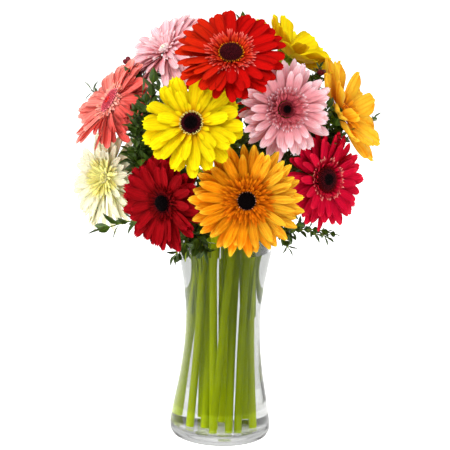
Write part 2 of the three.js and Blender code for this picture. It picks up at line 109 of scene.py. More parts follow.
class Nodes:
    """Short ways to add and join nodes in one node tree."""

    def __init__(self, tree):
        self.tree = tree

    def join(self, source, target):
        """Links a socket to the target, or sets a number or a colour on it."""
        if isinstance(source, bpy.types.NodeSocket):
            self.tree.links.new(source, target)
        else:
            target.default_value = source

    def add(self, kind, *values, **settings):
        """A node with its settings, and a value on each of its first sockets."""
        node = self.tree.nodes.new(kind)
        for key, value in settings.items():
            setattr(node, key, value)
        for value, socket in zip(values, node.inputs):
            self.join(value, socket)
        return node

    def math(self, operation, *values):
        """One sum on numbers, such as ADD, or MULTIPLY_ADD for a times b plus c."""
        return self.add("ShaderNodeMath", *values, operation=operation).outputs["Value"]

    def mix(self, share, first, second, blend="MIX"):
        """The first colour where share is 0, and the second, or its blend with the first, where 1."""
        node = self.add("ShaderNodeMix", data_type="RGBA", blend_type=blend)
        colour_a, colour_b = [s for s in node.inputs if s.type == "RGBA"]
        self.join(share, node.inputs["Factor"])
        self.join(first, colour_a)
        self.join(second, colour_b)
        return next(s for s in node.outputs if s.type == "RGBA")

    def ramp(self, value, low, high):
        """0 below low and 1 above high, eased between."""
        node = self.add("ShaderNodeMapRange", value, low, high, interpolation_type="SMOOTHSTEP")
        return node.outputs["Result"]

    def mark(self, name):
        """A number that is kept at each point of the piece."""
        return self.add("ShaderNodeAttribute", attribute_name=name).outputs["Fac"]

    def own_map(self):
        """The place across and along the piece's own map."""
        place = self.add("ShaderNodeSeparateXYZ", self.add("ShaderNodeTexCoord").outputs["UV"])
        return place.outputs["X"], place.outputs["Y"]

    def clouds(self, waves, detail=2.0):
        """Noise on Object coordinates, with its waves to the metre along X, Y and Z."""
        spot = self.add("ShaderNodeMapping", self.add("ShaderNodeTexCoord").outputs["Object"])
        spot.inputs["Scale"].default_value = waves
        noise = self.add("ShaderNodeTexNoise", spot.outputs["Vector"])
        noise.inputs["Scale"].default_value = 1.0
        noise.inputs["Detail"].default_value = detail
        return noise.outputs["Fac"]

    def shaded(self, colour, share):
        """A colour times a share that changes over the surface."""
        grey = self.add("ShaderNodeCombineColor", share, share, share)
        return self.mix(1.0, colour, grey.outputs["Color"], "MULTIPLY")

    def relief(self, shader, height, strength, depth):
        """A height as a bump on a shader, with its depth in metres."""
        bump = self.add("ShaderNodeBump")
        bump.inputs["Strength"].default_value = strength
        bump.inputs["Distance"].default_value = depth
        self.join(height, bump.inputs["Height"])
        self.join(bump.outputs["Normal"], shader.inputs["Normal"])


def principled(name, **sockets):
    """A material with its Principled shader, and the sockets named set on it."""
    material = bpy.data.materials.new(name)
    material.use_nodes = True
    shader = material.node_tree.nodes["Principled BSDF"]
    for key, value in sockets.items():
        shader.inputs[key.replace("_", " ")].default_value = value
    return material, Nodes(material.node_tree), shader


print("node helpers are ready")

# %% [markdown]
# ## Floor and light
# The picture is lit like a catalogue cut-out: four big soft lamps, in front on the left, out to the
# left, out to the right and behind the heads, in a dim room with a white backdrop. A picture of a
# studio could light it too, but lamps can be moved and dimmed one by one. The floor is a pale sheet
# that lies a hair under the vase.

# %% Floor, room and lamps
LAMPS = {
    # compass turn and lift in degrees, distance and size in metres, strength in watts
    "key": (-30.0, 54.0, 1.5, 0.8, 13.5),
    "left": (-64.0, 24.0, 1.5, 0.9, 8.4),
    "right": (66.0, 34.0, 1.6, 0.9, 8.0),
    "crown": (170.0, 62.0, 1.6, 0.9, 5.5),
}
# The two spans say how far back, and how far down, a look turns while the brightness changes.
ROOM = {"ceiling": 0.26, "wall": 0.16, "backdrop": 1.04, "back_span": (-0.4, 0.25), "down_span": (0.6, 0.2)}
AIM = (0.0, 0.0, 0.27)


def lamp(name, compass, lift, distance, size, strength):
    """A square soft light, aimed at the heads."""
    data = bpy.data.lights.new(name, "AREA")
    data.size = size
    data.energy = strength
    made = bpy.data.objects.new(name, data)
    bpy.context.scene.collection.objects.link(made)
    away = Vector(direction(compass, lift))
    made.location = Vector(AIM) + away * distance
    made.rotation_mode = "QUATERNION"
    made.rotation_quaternion = (-away).to_track_quat("-Z", "Y")
    return made


for lamp_name, row in LAMPS.items():
    lamp(lamp_name, *row)

world = bpy.data.worlds.new("room")
bpy.context.scene.world = world
world.use_nodes = True
air = Nodes(world.node_tree)
# The walls are brighter than the ceiling, and the wall behind the flowers is the white backdrop.
way = air.add("ShaderNodeSeparateXYZ", air.add("ShaderNodeTexCoord").outputs["Generated"]).outputs
wall = air.add("ShaderNodeMapRange", way["Y"], *ROOM["back_span"], ROOM["wall"], ROOM["backdrop"])
low = air.add("ShaderNodeMapRange", way["Z"], *ROOM["down_span"], 0.0, 1.0)
background = world.node_tree.nodes["Background"].inputs
background["Color"].default_value = WHITE
air.join(air.math("MULTIPLY_ADD", low.outputs[0], wall.outputs[0], ROOM["ceiling"]), background["Strength"])
bpy.context.scene.view_settings.view_transform = "Standard"

# how far the floor lies under the vase, and how wide it is, in metres
FLOOR_DROP = 0.0004
FLOOR_SIZE = 12.0
PAPER = (0.85, 0.85, 0.85, 1.0)
PAPER_GLOW = 0.9
floor_mesh = bpy.data.meshes.new("floor")
half = FLOOR_SIZE / 2
floor_corners = [(x * half, y * half, -FLOOR_DROP) for x, y in ((-1, -1), (1, -1), (1, 1), (-1, 1))]
floor_mesh.from_pydata(floor_corners, [], [(0, 1, 2, 3)])
floor = bpy.data.objects.new("floor", floor_mesh)
bpy.context.scene.collection.objects.link(floor)
floor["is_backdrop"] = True
paper = principled(
    "pale_paper", Base_Color=PAPER, Roughness=0.9, Emission_Color=WHITE, Emission_Strength=PAPER_GLOW
)[0]
floor_mesh.materials.append(paper)
print("lamps:", ", ".join(LAMPS))

# %% [markdown]
# ## Surfaces from arrays
# Every piece is a skin: its points, its faces as rows of corner numbers, and where each corner lies
# on the piece's own map. Marks are numbers kept at each point, such as how dark a petal is, for the
# materials to read. Thousands of petals and leaves could be made one at a time with Blender's own
# tools. As whole arrays they take a moment, and each follows a formula that can be read.


# %% Skins and grids
def skin_of(points, faces, uvs, **marks):
    """A skin: points (n, 3) in mm, lists of face arrays and of their corner maps, and marks (n)."""
    count = len(points)
    full = {key: np.broadcast_to(np.asarray(value, float), (count,)) for key, value in marks.items()}
    return {"points": points, "faces": faces, "uvs": uvs, "marks": full}


def joined(skins):
    """Several skins as one. Each skin's corner numbers move up by the points before it."""
    starts = np.cumsum([0] + [len(s["points"]) for s in skins])
    faces = [f + start for s, start in zip(skins, starts) for f in s["faces"]]
    uvs = [u for s in skins for u in s["uvs"]]
    points = np.concatenate([s["points"] for s in skins])
    marks = {key: np.concatenate([s["marks"][key] for s in skins]) for key in skins[0]["marks"]}
    return {"points": points, "faces": faces, "uvs": uvs, "marks": marks}


def grid(rows, columns, wrap=False):
    """Quads on a grid of points, seen from where columns run to the right and rows run up. Wrapped,
    the last column joins the first. Each corner's map is its share of the columns and the rows."""
    row = np.arange(rows - 1)[:, None]
    column = np.arange(columns if wrap else columns - 1)[None, :]
    row, column = np.broadcast_arrays(row, column)
    corners = [(row, column), (row, column + 1), (row + 1, column + 1), (row + 1, column)]
    quads = np.stack([r * columns + c % columns for r, c in corners], axis=-1).reshape(-1, 4)
    across = columns if wrap else columns - 1
    uvs = np.stack([np.stack([c / across, r / (rows - 1)], axis=-1) for r, c in corners], axis=-2)
    return quads, uvs.reshape(-1, 4, 2)


print("a 3 x 4 grid has", len(grid(3, 4)[0]), "quads")

# %% [markdown]
# A skin becomes a mesh in one go, because foreach_set takes whole arrays, where adding faces one by one
# would be slow. Each piece also rides on the root body, and hides the node of the imported model that
# it stands for, where one is named.

# %% From a skin to a piece
# how many triangles each piece has
TALLY = {}


def piece(name, skin, node, material, sharp=62.0):
    """A mesh object at the origin from a skin, riding on the root body. It stands for a node of the
    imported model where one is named. Edges are sharp where faces turn by more than sharp degrees."""
    mesh = bpy.data.meshes.new(name)
    points = skin["points"] * MM
    mesh.vertices.add(len(points))
    mesh.vertices.foreach_set("co", points.astype(np.float32).ravel())
    sizes = np.concatenate([np.full(len(f), f.shape[1]) for f in skin["faces"]])
    corners = np.concatenate([f.ravel() for f in skin["faces"]])
    mesh.loops.add(len(corners))
    mesh.loops.foreach_set("vertex_index", corners.astype(np.int32))
    mesh.polygons.add(len(sizes))
    mesh.polygons.foreach_set("loop_start", (np.cumsum(sizes) - sizes).astype(np.int32))
    mesh.polygons.foreach_set("use_smooth", np.ones(len(sizes), dtype=bool))
    mesh.update(calc_edges=True)
    uv = np.concatenate([u.reshape(-1, 2) for u in skin["uvs"]])
    mesh.uv_layers.new(name="UVMap").data.foreach_set("uv", uv.astype(np.float32).ravel())
    for key, values in skin["marks"].items():
        mesh.attributes.new(key, "FLOAT", "POINT").data.foreach_set("value", values.astype(np.float32))
    mesh.set_sharp_from_angle(angle=math.radians(sharp))
    mesh.materials.append(material)
    made = bpy.data.objects.new(name, mesh)
    bpy.context.scene.collection.objects.link(made)
    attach(made, "root")
    if node:
        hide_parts(node)
    TALLY[name] = int((sizes - 2).sum())
    return made


print("skins can be made pieces, and their triangles are counted")

# %% [markdown]
# ## Turned and drawn-out surfaces
# Glass and water are a profile turned about the upright axis. Stems and twigs are rings carried along
# a path. A Screw modifier and a bevelled curve could make them too. Here both are the same grid of
# points, with a fan of triangles over each end, so one helper closes them all.


# %% Turning and tubes
def full_turn(count):
    """Angles that share out a whole turn evenly, from 0."""
    return np.linspace(0, 2 * np.pi, count, endpoint=False)


def capped(rings, low, high, **marks):
    """Rings of points (rows, sides, 3), anticlockwise seen from the far end, closed over a point at
    each end."""
    rows, sides, _ = rings.shape
    quads, uvs = grid(rows, sides, wrap=True)
    points = np.concatenate([rings.reshape(-1, 3), [low], [high]])
    step = np.arange(sides)
    after = (step + 1) % sides
    first = np.stack([np.full(sides, rows * sides), after, step], axis=-1)
    top = (rows - 1) * sides
    last = np.stack([np.full(sides, rows * sides + 1), top + step, top + after], axis=-1)
    share = np.stack([step, step, step + 1], axis=-1) / sides
    cap_uv = [np.stack([share, np.full_like(share, end)], axis=-1) for end in (0.0, 1.0)]
    return skin_of(points, [quads, first, last], [uvs, *cap_uv], **marks)


def turned(profile, sides=128):
    """A profile of (radius, height) rows turned about +Z. It starts and ends on the axis. Each point is
    (radius cos t, radius sin t, height)."""
    radius, height = np.array(profile[1:-1], float).T
    angle = full_turn(sides)
    x = radius[:, None] * np.cos(angle)
    y = radius[:, None] * np.sin(angle)
    z = np.broadcast_to(height[:, None], x.shape)
    return capped(np.stack([x, y, z], axis=-1), (0, 0, profile[0][1]), (0, 0, profile[-1][1]))


def unit(vectors):
    """Vectors with their lengths made 1."""
    return vectors / np.linalg.norm(vectors, axis=-1, keepdims=True)


# A path whose two ends turn by less than this, as the sine of the angle, counts as straight.
NEARLY_STRAIGHT = 0.1


def tube(path, radius, sides, **marks):
    """A closed tube. Each point is path + radius (side cos t + across sin t), where side is square to
    the path and lies nearest to the normal of the plane that the path bends in, or to X if the path
    is straight."""
    ahead = unit(np.gradient(path, axis=0))
    plane = np.cross(ahead[0], ahead[-1])
    if np.linalg.norm(plane) < NEARLY_STRAIGHT:
        plane = np.array([1.0, 0.0, 0.0])
    side = unit(plane - (ahead @ plane)[:, None] * ahead)
    across = np.cross(ahead, side)
    angle = full_turn(sides)[None, :, None]
    spread = np.broadcast_to(np.asarray(radius, float).reshape(len(path), -1, 1), (len(path), sides, 1))
    rings = path[:, None] + spread * (side[:, None] * np.cos(angle) + across[:, None] * np.sin(angle))
    return capped(rings, path[0], path[-1], **marks)


print("tubes and turned pieces are ready")

# %% [markdown]
# ## Shader groups
# Colours are named as a florist would. Two node groups are shared: one paints a blade, such as a
# petal, bract or leaf, from its root to its tip with veins along it, and one paints the buds of a
# disc from its middle out to its rim. Each head could have nodes of its own, but a shared group
# keeps two dozen finishes of one kind, with only their colours and a few numbers apart.

# %% Colours and groups
INK = {
    "scarlet": "#ba0502",
    "blood": "#a80402",
    "vermilion": "#e84208",
    "rust": "#b04806",
    "tangerine": "#da7004",
    "marigold": "#ee940c",
    "amber": "#ffca32",
    "honey": "#fdb426",
    "buttercup": "#fae616",
    "gold": "#f6da0a",
    "lemon": "#e8d004",
    "sunlit_lemon": "#f0e20a",
    "mustard": "#e2a602",
    "umber": "#cc8c0a",
    "salmon": "#fb8478",
    "light_salmon": "#ffa698",
    "brick": "#d42824",
    "blush_pink": "#f6c2c8",
    "shell_pink": "#ffe6e6",
    "rose": "#e87c86",
    "dusty": "#e2989e",
    "dusty_tip": "#f8dce0",
    "deep_rose": "#c44654",
    "plum": "#7a2028",
    "crimson": "#cc0630",
    "bright_crimson": "#e4203f",
    "wine": "#6c0204",
    "garnet": "#92030c",
    "ruby": "#a80618",
    "black_cherry": "#460a14",
    "black": "#0a0204",
    "cream": "#eceace",
    "ivory": "#efebca",
    "lime": "#fbf49a",
    "peach": "#f6b08c",
    "stem_green": "#bed006",
    "stem_shade": "#92a608",
    "bract_green": "#64801a",
    "leaf_green": "#344a10",
    "leaf_light": "#607e24",
    "twig": "#4a3a20",
    "bud": "#701424",
}


def ink(name):
    """A named colour in the linear values that Blender works in."""
    code = INK[name].lstrip("#")
    share = np.array([int(code[i : i + 2], 16) for i in (0, 2, 4)]) / 255
    linear = np.where(share <= 0.04045, share / 12.92, ((share + 0.055) / 1.055) ** 2.4)
    return (*[float(x) for x in linear], 1.0)


def group(name, colours, numbers, outputs):
    """A new shader group with named colours and numbers to fill in, its helper, and its two end nodes."""
    tree = bpy.data.node_groups.new(name, "ShaderNodeTree")
    for key in colours:
        tree.interface.new_socket(key, in_out="INPUT", socket_type="NodeSocketColor").default_value = WHITE
    for key, value in numbers.items():
        tree.interface.new_socket(key, in_out="INPUT", socket_type="NodeSocketFloat").default_value = value
    for key, kind in outputs.items():
        tree.interface.new_socket(key, in_out="OUTPUT", socket_type=f"NodeSocket{kind}")
    nodes = Nodes(tree)
    return tree, nodes, nodes.add("NodeGroupInput").outputs, nodes.add("NodeGroupOutput").inputs


def painted(name, tree, colours, numbers, **sockets):
    """A material whose base colour comes from a shader group, with its named colours and numbers."""
    material, nodes, shader = principled(name, **sockets)
    paint = nodes.add("ShaderNodeGroup", node_tree=tree)
    for key, colour in colours.items():
        paint.inputs[key].default_value = ink(colour)
    for key, number in numbers.items():
        paint.inputs[key].default_value = number
    nodes.join(paint.outputs["Color"], shader.inputs["Base Color"])
    return material, nodes, shader, paint


print("named colours:", len(INK))

# %% [markdown]
# ### Blade paint
# A gerbera petal is darker at its root, partly in its own colour and partly as painted shade where
# the petals crowd round the eye. It is often paler at its tip, with fine furrows along it. An image
# would be one way to paint it. Waves and noise need none, and fit a blade of any size. The blade's own
# map gives the place across and along it, and its marks say how dark and how flushed it is.

# %% The blade group
BLADE_LOOK = {
    "waves": 260.0,  # of noise, to the metre
    "wander": 0.12,  # how far the noise bends the furrows
    "fineness": 4.0,  # of the veins, as a power
    "root_start": 0.02,  # how far up the root's colour is whole
    "flush_low": 0.2,  # how much of the flush shows at the root
    "under": 0.7,  # how strongly the underside's colour shows
    "mottle": 0.25,  # how patchy the tone is
    "side_start": 0.55,  # where the shade along the sides starts, from the spine out
}
# what the furrows, the finer lines and the patches of the noise add to the bump's height
BUMP_SHARE = {"furrow": -0.7, "line": 0.2, "patch": 0.5}
blade_group, n, given, wanted = group(
    "blade_paint",
    ("Root", "Blade", "Tip", "Flush", "Vein", "Under"),
    {
        "Root Reach": 0.4,
        "Tip Start": 0.7,
        "Veins": 0.3,
        "Vein Count": 5.0,
        "Uneven": 0.2,
        # how strongly a petal's sides are painted darker, as painted shade
        "Edge": 0.3,
    },
    {"Color": "Color", "Height": "Float"},
)
across, along = n.own_map()
# Furrows are waves across the blade, bent a little by noise.
patch = n.clouds((BLADE_LOOK["waves"],) * 3, 3.0)
wander = n.math("MULTIPLY", n.math("SUBTRACT", patch, 0.5), BLADE_LOOK["wander"])
turns = n.math("MULTIPLY", n.math("ADD", across, wander), given["Vein Count"])
wave = n.math("COSINE", n.math("MULTIPLY", turns, 2 * math.pi))
crest = n.math("MULTIPLY_ADD", wave, 0.5, 0.5)
fine = n.math("COSINE", n.math("MULTIPLY", turns, 6 * math.pi))
line = n.math("MULTIPLY", n.math("POWER", crest, BLADE_LOOK["fineness"]), given["Veins"])
# On most heads the darker root is partly the petal's own colour and partly painted shade near the eye.
rooted = n.ramp(along, BLADE_LOOK["root_start"], given["Root Reach"])
colour = n.mix(rooted, given["Root"], given["Blade"])
tipped = n.ramp(along, given["Tip Start"], 1.0)
colour = n.mix(tipped, colour, given["Tip"])
least = BLADE_LOOK["flush_low"]
flushed = n.math("MULTIPLY", n.mark("flush"), n.math("MULTIPLY_ADD", along, 1 - least, least))
colour = n.mix(flushed, colour, given["Flush"])
# The underside takes the Under colour. The deep yellow head's umber there is partly painted shade.
colour = n.mix(n.math("MULTIPLY", n.mark("under"), BLADE_LOOK["under"]), colour, given["Under"])
colour = n.mix(line, colour, given["Vein"])
tone = n.math("MULTIPLY", n.math("SUBTRACT", n.mark("tone"), 0.5), given["Uneven"])
mottle = n.math("MULTIPLY_ADD", n.math("SUBTRACT", patch, 0.5), BLADE_LOOK["mottle"], 1.0)
shade = n.math("MULTIPLY", n.math("ADD", tone, 1.0), mottle)
# Each petal is painted a little darker along its sides: painted shade, where its neighbours shade it.
aside = n.math("ABSOLUTE", n.math("MULTIPLY_ADD", across, 2.0, -1.0))
aside = n.ramp(aside, BLADE_LOOK["side_start"], 1.0)
shade = n.math("MULTIPLY", shade, n.math("SUBTRACT", 1.0, n.math("MULTIPLY", aside, given["Edge"])))
n.join(n.shaded(colour, shade), wanted["Color"])
# The bump is the furrows, finer lines between them, and the patches of the noise.
height = n.math("MULTIPLY", crest, BUMP_SHARE["furrow"])
height = n.math("ADD", height, n.math("MULTIPLY", fine, BUMP_SHARE["line"]))
n.join(n.math("ADD", height, n.math("MULTIPLY", patch, BUMP_SHARE["patch"])), wanted["Height"])
print("blade group nodes:", len(blade_group.nodes))

# %% [markdown]
# ### Finishes
# Petals are velvety: rough, with next to no gloss and some light passing through, which the shader's
# subsurface share gives. Each material takes the group with its own colours. Numbers that are the
# same all over are set on the shader itself.

# %% Blade materials
PETAL_FINISH = {
    "Roughness": 0.7,
    "Specular_IOR_Level": 0.04,
    "Subsurface_Weight": 0.3,
    "Subsurface_Scale": 0.0004,
    "Subsurface_Radius": (1.0, 0.6, 0.4),
}
# in metres
FURROW_DEPTH = 0.0006


def blade_material(name, root, blade, tip, flush=None, vein=None, under=None, bump=0.25, **values):
    """A petal, bract or leaf finish: blade paint for the colour, its furrows as a bump. Roughness and
    values whose name has an underscore go on the shader, and the rest on the paint."""
    own = {key: values.pop(key) for key in list(values) if "_" in key or key == "Roughness"}
    colours = {"Root": root, "Blade": blade, "Tip": tip, "Flush": flush or blade, "Vein": vein or root}
    colours["Under"] = under or blade
    made = painted(name, blade_group, colours, values, **{**PETAL_FINISH, **own})
    material, nodes, shader, paint = made
    nodes.relief(shader, paint.outputs["Height"], bump, FURROW_DEPTH)
    return material


print("blade finishes are ready")

# %% [markdown]
# ## The vase
# The glass is one turned solid with a thick floor. Its inside is a surface of its own, so light bends
# on its way into the wall and again on its way out. A single sheet given a thickness would be
# quicker, but couldn't be thick at the foot and thin at the rim. The outline runs smoothly through
# the measured radii. Round corners at the foot, the rim and the inner floor catch the highlights.

# %% Glass outline
OUTLINE = np.array(
    # radius and height of the outside
    [(48.5, 12), (45.6, 30), (40, 62), (36.5, 94), (36.2, 120), (38.6, 148), (43.4, 177), (48.2, 203)],
    float,
)
# the wall's thickness, in mm
WALL = 3.2
# the height of the inner floor, how far out it is flat, and how high its rounded heel ends
INNER_FLOOR = 10.0
FLAT_FLOOR = 30.0
HEEL_END = 21.0
WATER_LEVEL = 187.0


def smooth_through(rows, count):
    """A curve through rows of numbers, with their last column as the one that grows. Each span is a
    cubic whose slope at a row is that of the line through the rows beside it."""
    rows = np.array(rows, float)
    grow = rows[:, -1]
    slope = np.gradient(rows[:, :-1], grow, axis=0)
    at = np.linspace(grow[0], grow[-1], count)
    span = np.clip(np.searchsorted(grow, at, side="right") - 1, 0, len(grow) - 2)
    width = (grow[span + 1] - grow[span])[:, None]
    t = (at - grow[span])[:, None] / width
    low, high = rows[span, :-1], rows[span + 1, :-1]
    rise = (2 * t**3 - 3 * t**2 + 1) * low + (3 * t**2 - 2 * t**3) * high
    lean = (t**3 - 2 * t**2 + t) * slope[span] + (t**3 - t**2) * slope[span + 1]
    return np.concatenate([rise + lean * width, at[:, None]], axis=1)


def arc(centre, radius, start, end, count):
    """Points on part of a circle, between two angles in degrees."""
    angle = np.radians(np.linspace(start, end, count))
    return np.stack([centre[0] + radius * np.cos(angle), centre[1] + radius * np.sin(angle)], axis=-1)


outside = smooth_through(OUTLINE, 60)
inside = outside[outside[:, 1] > HEEL_END] - [WALL, 0]
foot = smooth_through([(40.0, 0.0), (44.4, 1.2), (47.4, 4.6), (48.5, 12.0)], 12)
heel = smooth_through([(41.0, INNER_FLOOR), (43.2, 11.2), (44.2, 13.6), inside[0]], 10)
lip = arc(OUTLINE[-1] - WALL / 2, WALL / 2, 0, 180, 13)
under_side = [(0, 0), (36.0, 0.0)]
inner_floor = [(FLAT_FLOOR, INNER_FLOOR), (0, INNER_FLOOR)]
glass_profile = np.concatenate(
    [under_side, foot, outside[1:-2], lip, inside[::-1][3:-1], heel[::-1], inner_floor]
)
print("glass profile points:", len(glass_profile), "top:", glass_profile[:, 1].max())

# %% [markdown]
# Clear glass shows itself by its edges. Seen square on it is plain, and seen edge on it goes grey with
# the dimmer room, so a painted grey is mixed in by Layer Weight: painted shade. Lamps would otherwise
# leave the stems in the dark, so for shadow rays the glass and the water are simply clear. Low down
# the glass is thick: the foot, the floor and the heel above it get tints of their own. The foot's
# dark grey is painted shade, for the shadow under the vase. A dim mirror tint keeps the lamps'
# reflections on the walls faint.

# %% Clear finishes
# the span of Layer Weight's Facing in which the colour changes from that of the face to the painted
# shade of the edge
EDGE_SHADE_BAND = (0.2, 0.6)
# Glass and water bend light alike here, so the two faces between them bend it back and forth by
# the same, and the stems show without a break.
INDEX = 1.33


def clear_material(name, face, edge, mirror):
    """Glass or water: painted grey where seen edge on, as painted shade, and open to the lamps' shadow
    rays. Mirror is how strongly it reflects."""
    values = {"Roughness": 0.0, "IOR": INDEX, "Transmission_Weight": 1.0}
    values["Specular_Tint"] = (mirror, mirror, mirror, 1.0)
    material, nodes, shader = principled(name, **values)
    facing = nodes.add("ShaderNodeLayerWeight")
    facing.inputs["Blend"].default_value = 0.5
    painted_edge_shade = nodes.ramp(facing.outputs["Facing"], *EDGE_SHADE_BAND)
    nodes.join(nodes.mix(painted_edge_shade, (*face, 1.0), (*edge, 1.0)), shader.inputs["Base Color"])
    clear = nodes.add("ShaderNodeBsdfTransparent").outputs[0]
    shadow = nodes.add("ShaderNodeLightPath").outputs["Is Shadow Ray"]
    blend = nodes.add("ShaderNodeMixShader", shadow, shader.outputs[0], clear)
    nodes.join(blend.outputs[0], material.node_tree.nodes["Material Output"].inputs["Surface"])
    return material


# A face looks sideways where this much of its normal points away from the axis.
SIDEWAYS = 0.3


def low_finishes(made, layers, outer=None):
    """Gives the faces whose middle is lower than a height, in mm, a finish of their own. The layers
    run from low to high. The outer finish goes on the lowest layer's faces that look sideways out."""
    middle, normal = np.empty((2, len(made.data.polygons) * 3), np.float32)
    made.data.polygons.foreach_get("center", middle)
    made.data.polygons.foreach_get("normal", normal)
    middle, normal = middle.reshape(-1, 3), normal.reshape(-1, 3)
    level = np.searchsorted([below * MM for _, below in layers], middle[:, 2])
    chosen = (level + 1) % (len(layers) + 1)
    for material, _ in layers:
        made.data.materials.append(material)
    if outer:
        made.data.materials.append(outer)
        sideways = (middle[:, :2] * normal[:, :2]).sum(axis=1) / np.linalg.norm(middle[:, :2], axis=1)
        chosen[(level == 0) & (sideways > SIDEWAYS)] = len(layers) + 1
    made.data.polygons.foreach_set("material_index", chosen.astype(np.int32))


print("clear finishes are ready")

# %% [markdown]
# The vase and its water are one piece each. Their walls, their heel and their foot could be pieces of
# their own, but cuts through glass would show. Faces of one mesh can have different materials, so the
# low faces just get the low finishes.

# %% The vase and its water
# how high the foot and the heel reach, in mm, and how strongly the walls and the foot reflect
FOOT_TOP, HEEL_TOP = 16.5, 30.0
DIM, BRIGHT = 0.12, 1.0
# each tint seen square on, and seen edge on, where its grey is painted shade. The foot's dark tint is
# painted shade, for the shadow under the vase.
GLASS_TINT = ((0.72, 0.725, 0.72), (0.62, 0.625, 0.625))
FOOT_SHADE_TINT = ((0.5, 0.505, 0.5), (0.48, 0.485, 0.485))
HEEL_TINT = ((0.85, 0.855, 0.85), (0.84, 0.845, 0.845))
NO_TINT = ((1.0, 1.0, 1.0), (1.0, 1.0, 1.0))
WATER_TINT = ((0.82, 0.825, 0.805), (0.82, 0.825, 0.81))
glass = clear_material("clear_glass", *GLASS_TINT, DIM)
vase = piece("vase_glass", turned(glass_profile), "vase", glass, sharp=40.0)
# The foot's outer faces are a dark grey: painted shade, for the shadow under the vase.
shaded_foot_glass = clear_material("shaded_foot_glass", *FOOT_SHADE_TINT, BRIGHT)
heel_glass = clear_material("heel_glass", *HEEL_TINT, DIM)
floor_glass = clear_material("floor_glass", *NO_TINT, BRIGHT)
low_finishes(vase, [(floor_glass, FOOT_TOP), (heel_glass, HEEL_TOP)], shaded_foot_glass)
# The water reaches this far into the glass, so no film of air shows between them.
OVERLAP = 0.05
wet = inside[inside[:, 1] < WATER_LEVEL] + [OVERLAP, 0]
wet_heel = heel + [OVERLAP, -OVERLAP]
top_radius = float(np.interp(WATER_LEVEL, inside[:, 1], inside[:, 0]))
bottom = [(0, INNER_FLOOR - OVERLAP), (FLAT_FLOOR, INNER_FLOOR - OVERLAP)]
# A ring this far in from the edge keeps the water's face flat in its shading.
RING_IN = 3.0
face = [(top_radius + OVERLAP, WATER_LEVEL), (top_radius - RING_IN, WATER_LEVEL), (0, WATER_LEVEL)]
water_profile = np.concatenate([bottom, wet_heel[:-1], wet, face])
water = clear_material("water", *WATER_TINT, DIM)
pool = piece("water_fill", turned(water_profile), "water", water, sharp=40.0)
water_bottom = clear_material("water_bottom", *NO_TINT, BRIGHT)
water_low = clear_material("water_low", *HEEL_TINT, DIM)
low_finishes(pool, [(water_bottom, FOOT_TOP), (water_low, HEEL_TOP)])
print("glass and water triangles:", TALLY["vase_glass"], TALLY["water_fill"])

# %% [markdown]
# ## Blades
# Petals, bracts, florets and leaves are all the same surface, with other numbers. A blade has a spine
# that bends evenly, a width that swells from its root and closes at its tip, two soft furrows, and
# often small teeth at the end. It has two sides that share their edge, so it is closed and thin. One
# blade could be modelled and copied, but then all are alike. A formula gives each one its own
# length, roll and bend for nothing.


# %% The blade surface
def blade_faces(along, across):
    """The corner numbers of one blade. The upper side is a full grid, and the lower side has its own
    points inside the shared edge."""
    upper = np.arange(along * across).reshape(along, across)
    lower = upper.copy()
    inner = np.arange((along - 2) * (across - 2)).reshape(along - 2, across - 2)
    lower[1:-1, 1:-1] = along * across + inner
    quads, uvs = grid(along, across)
    top = quads[:, ::-1]
    bottom = lower.ravel()[quads]
    return np.concatenate([top, bottom]), np.concatenate([uvs[:, ::-1], uvs])


PETAL_GRID, LEAF_GRID, SMALL_GRID = (13, 9), (7, 5), (6, 5)


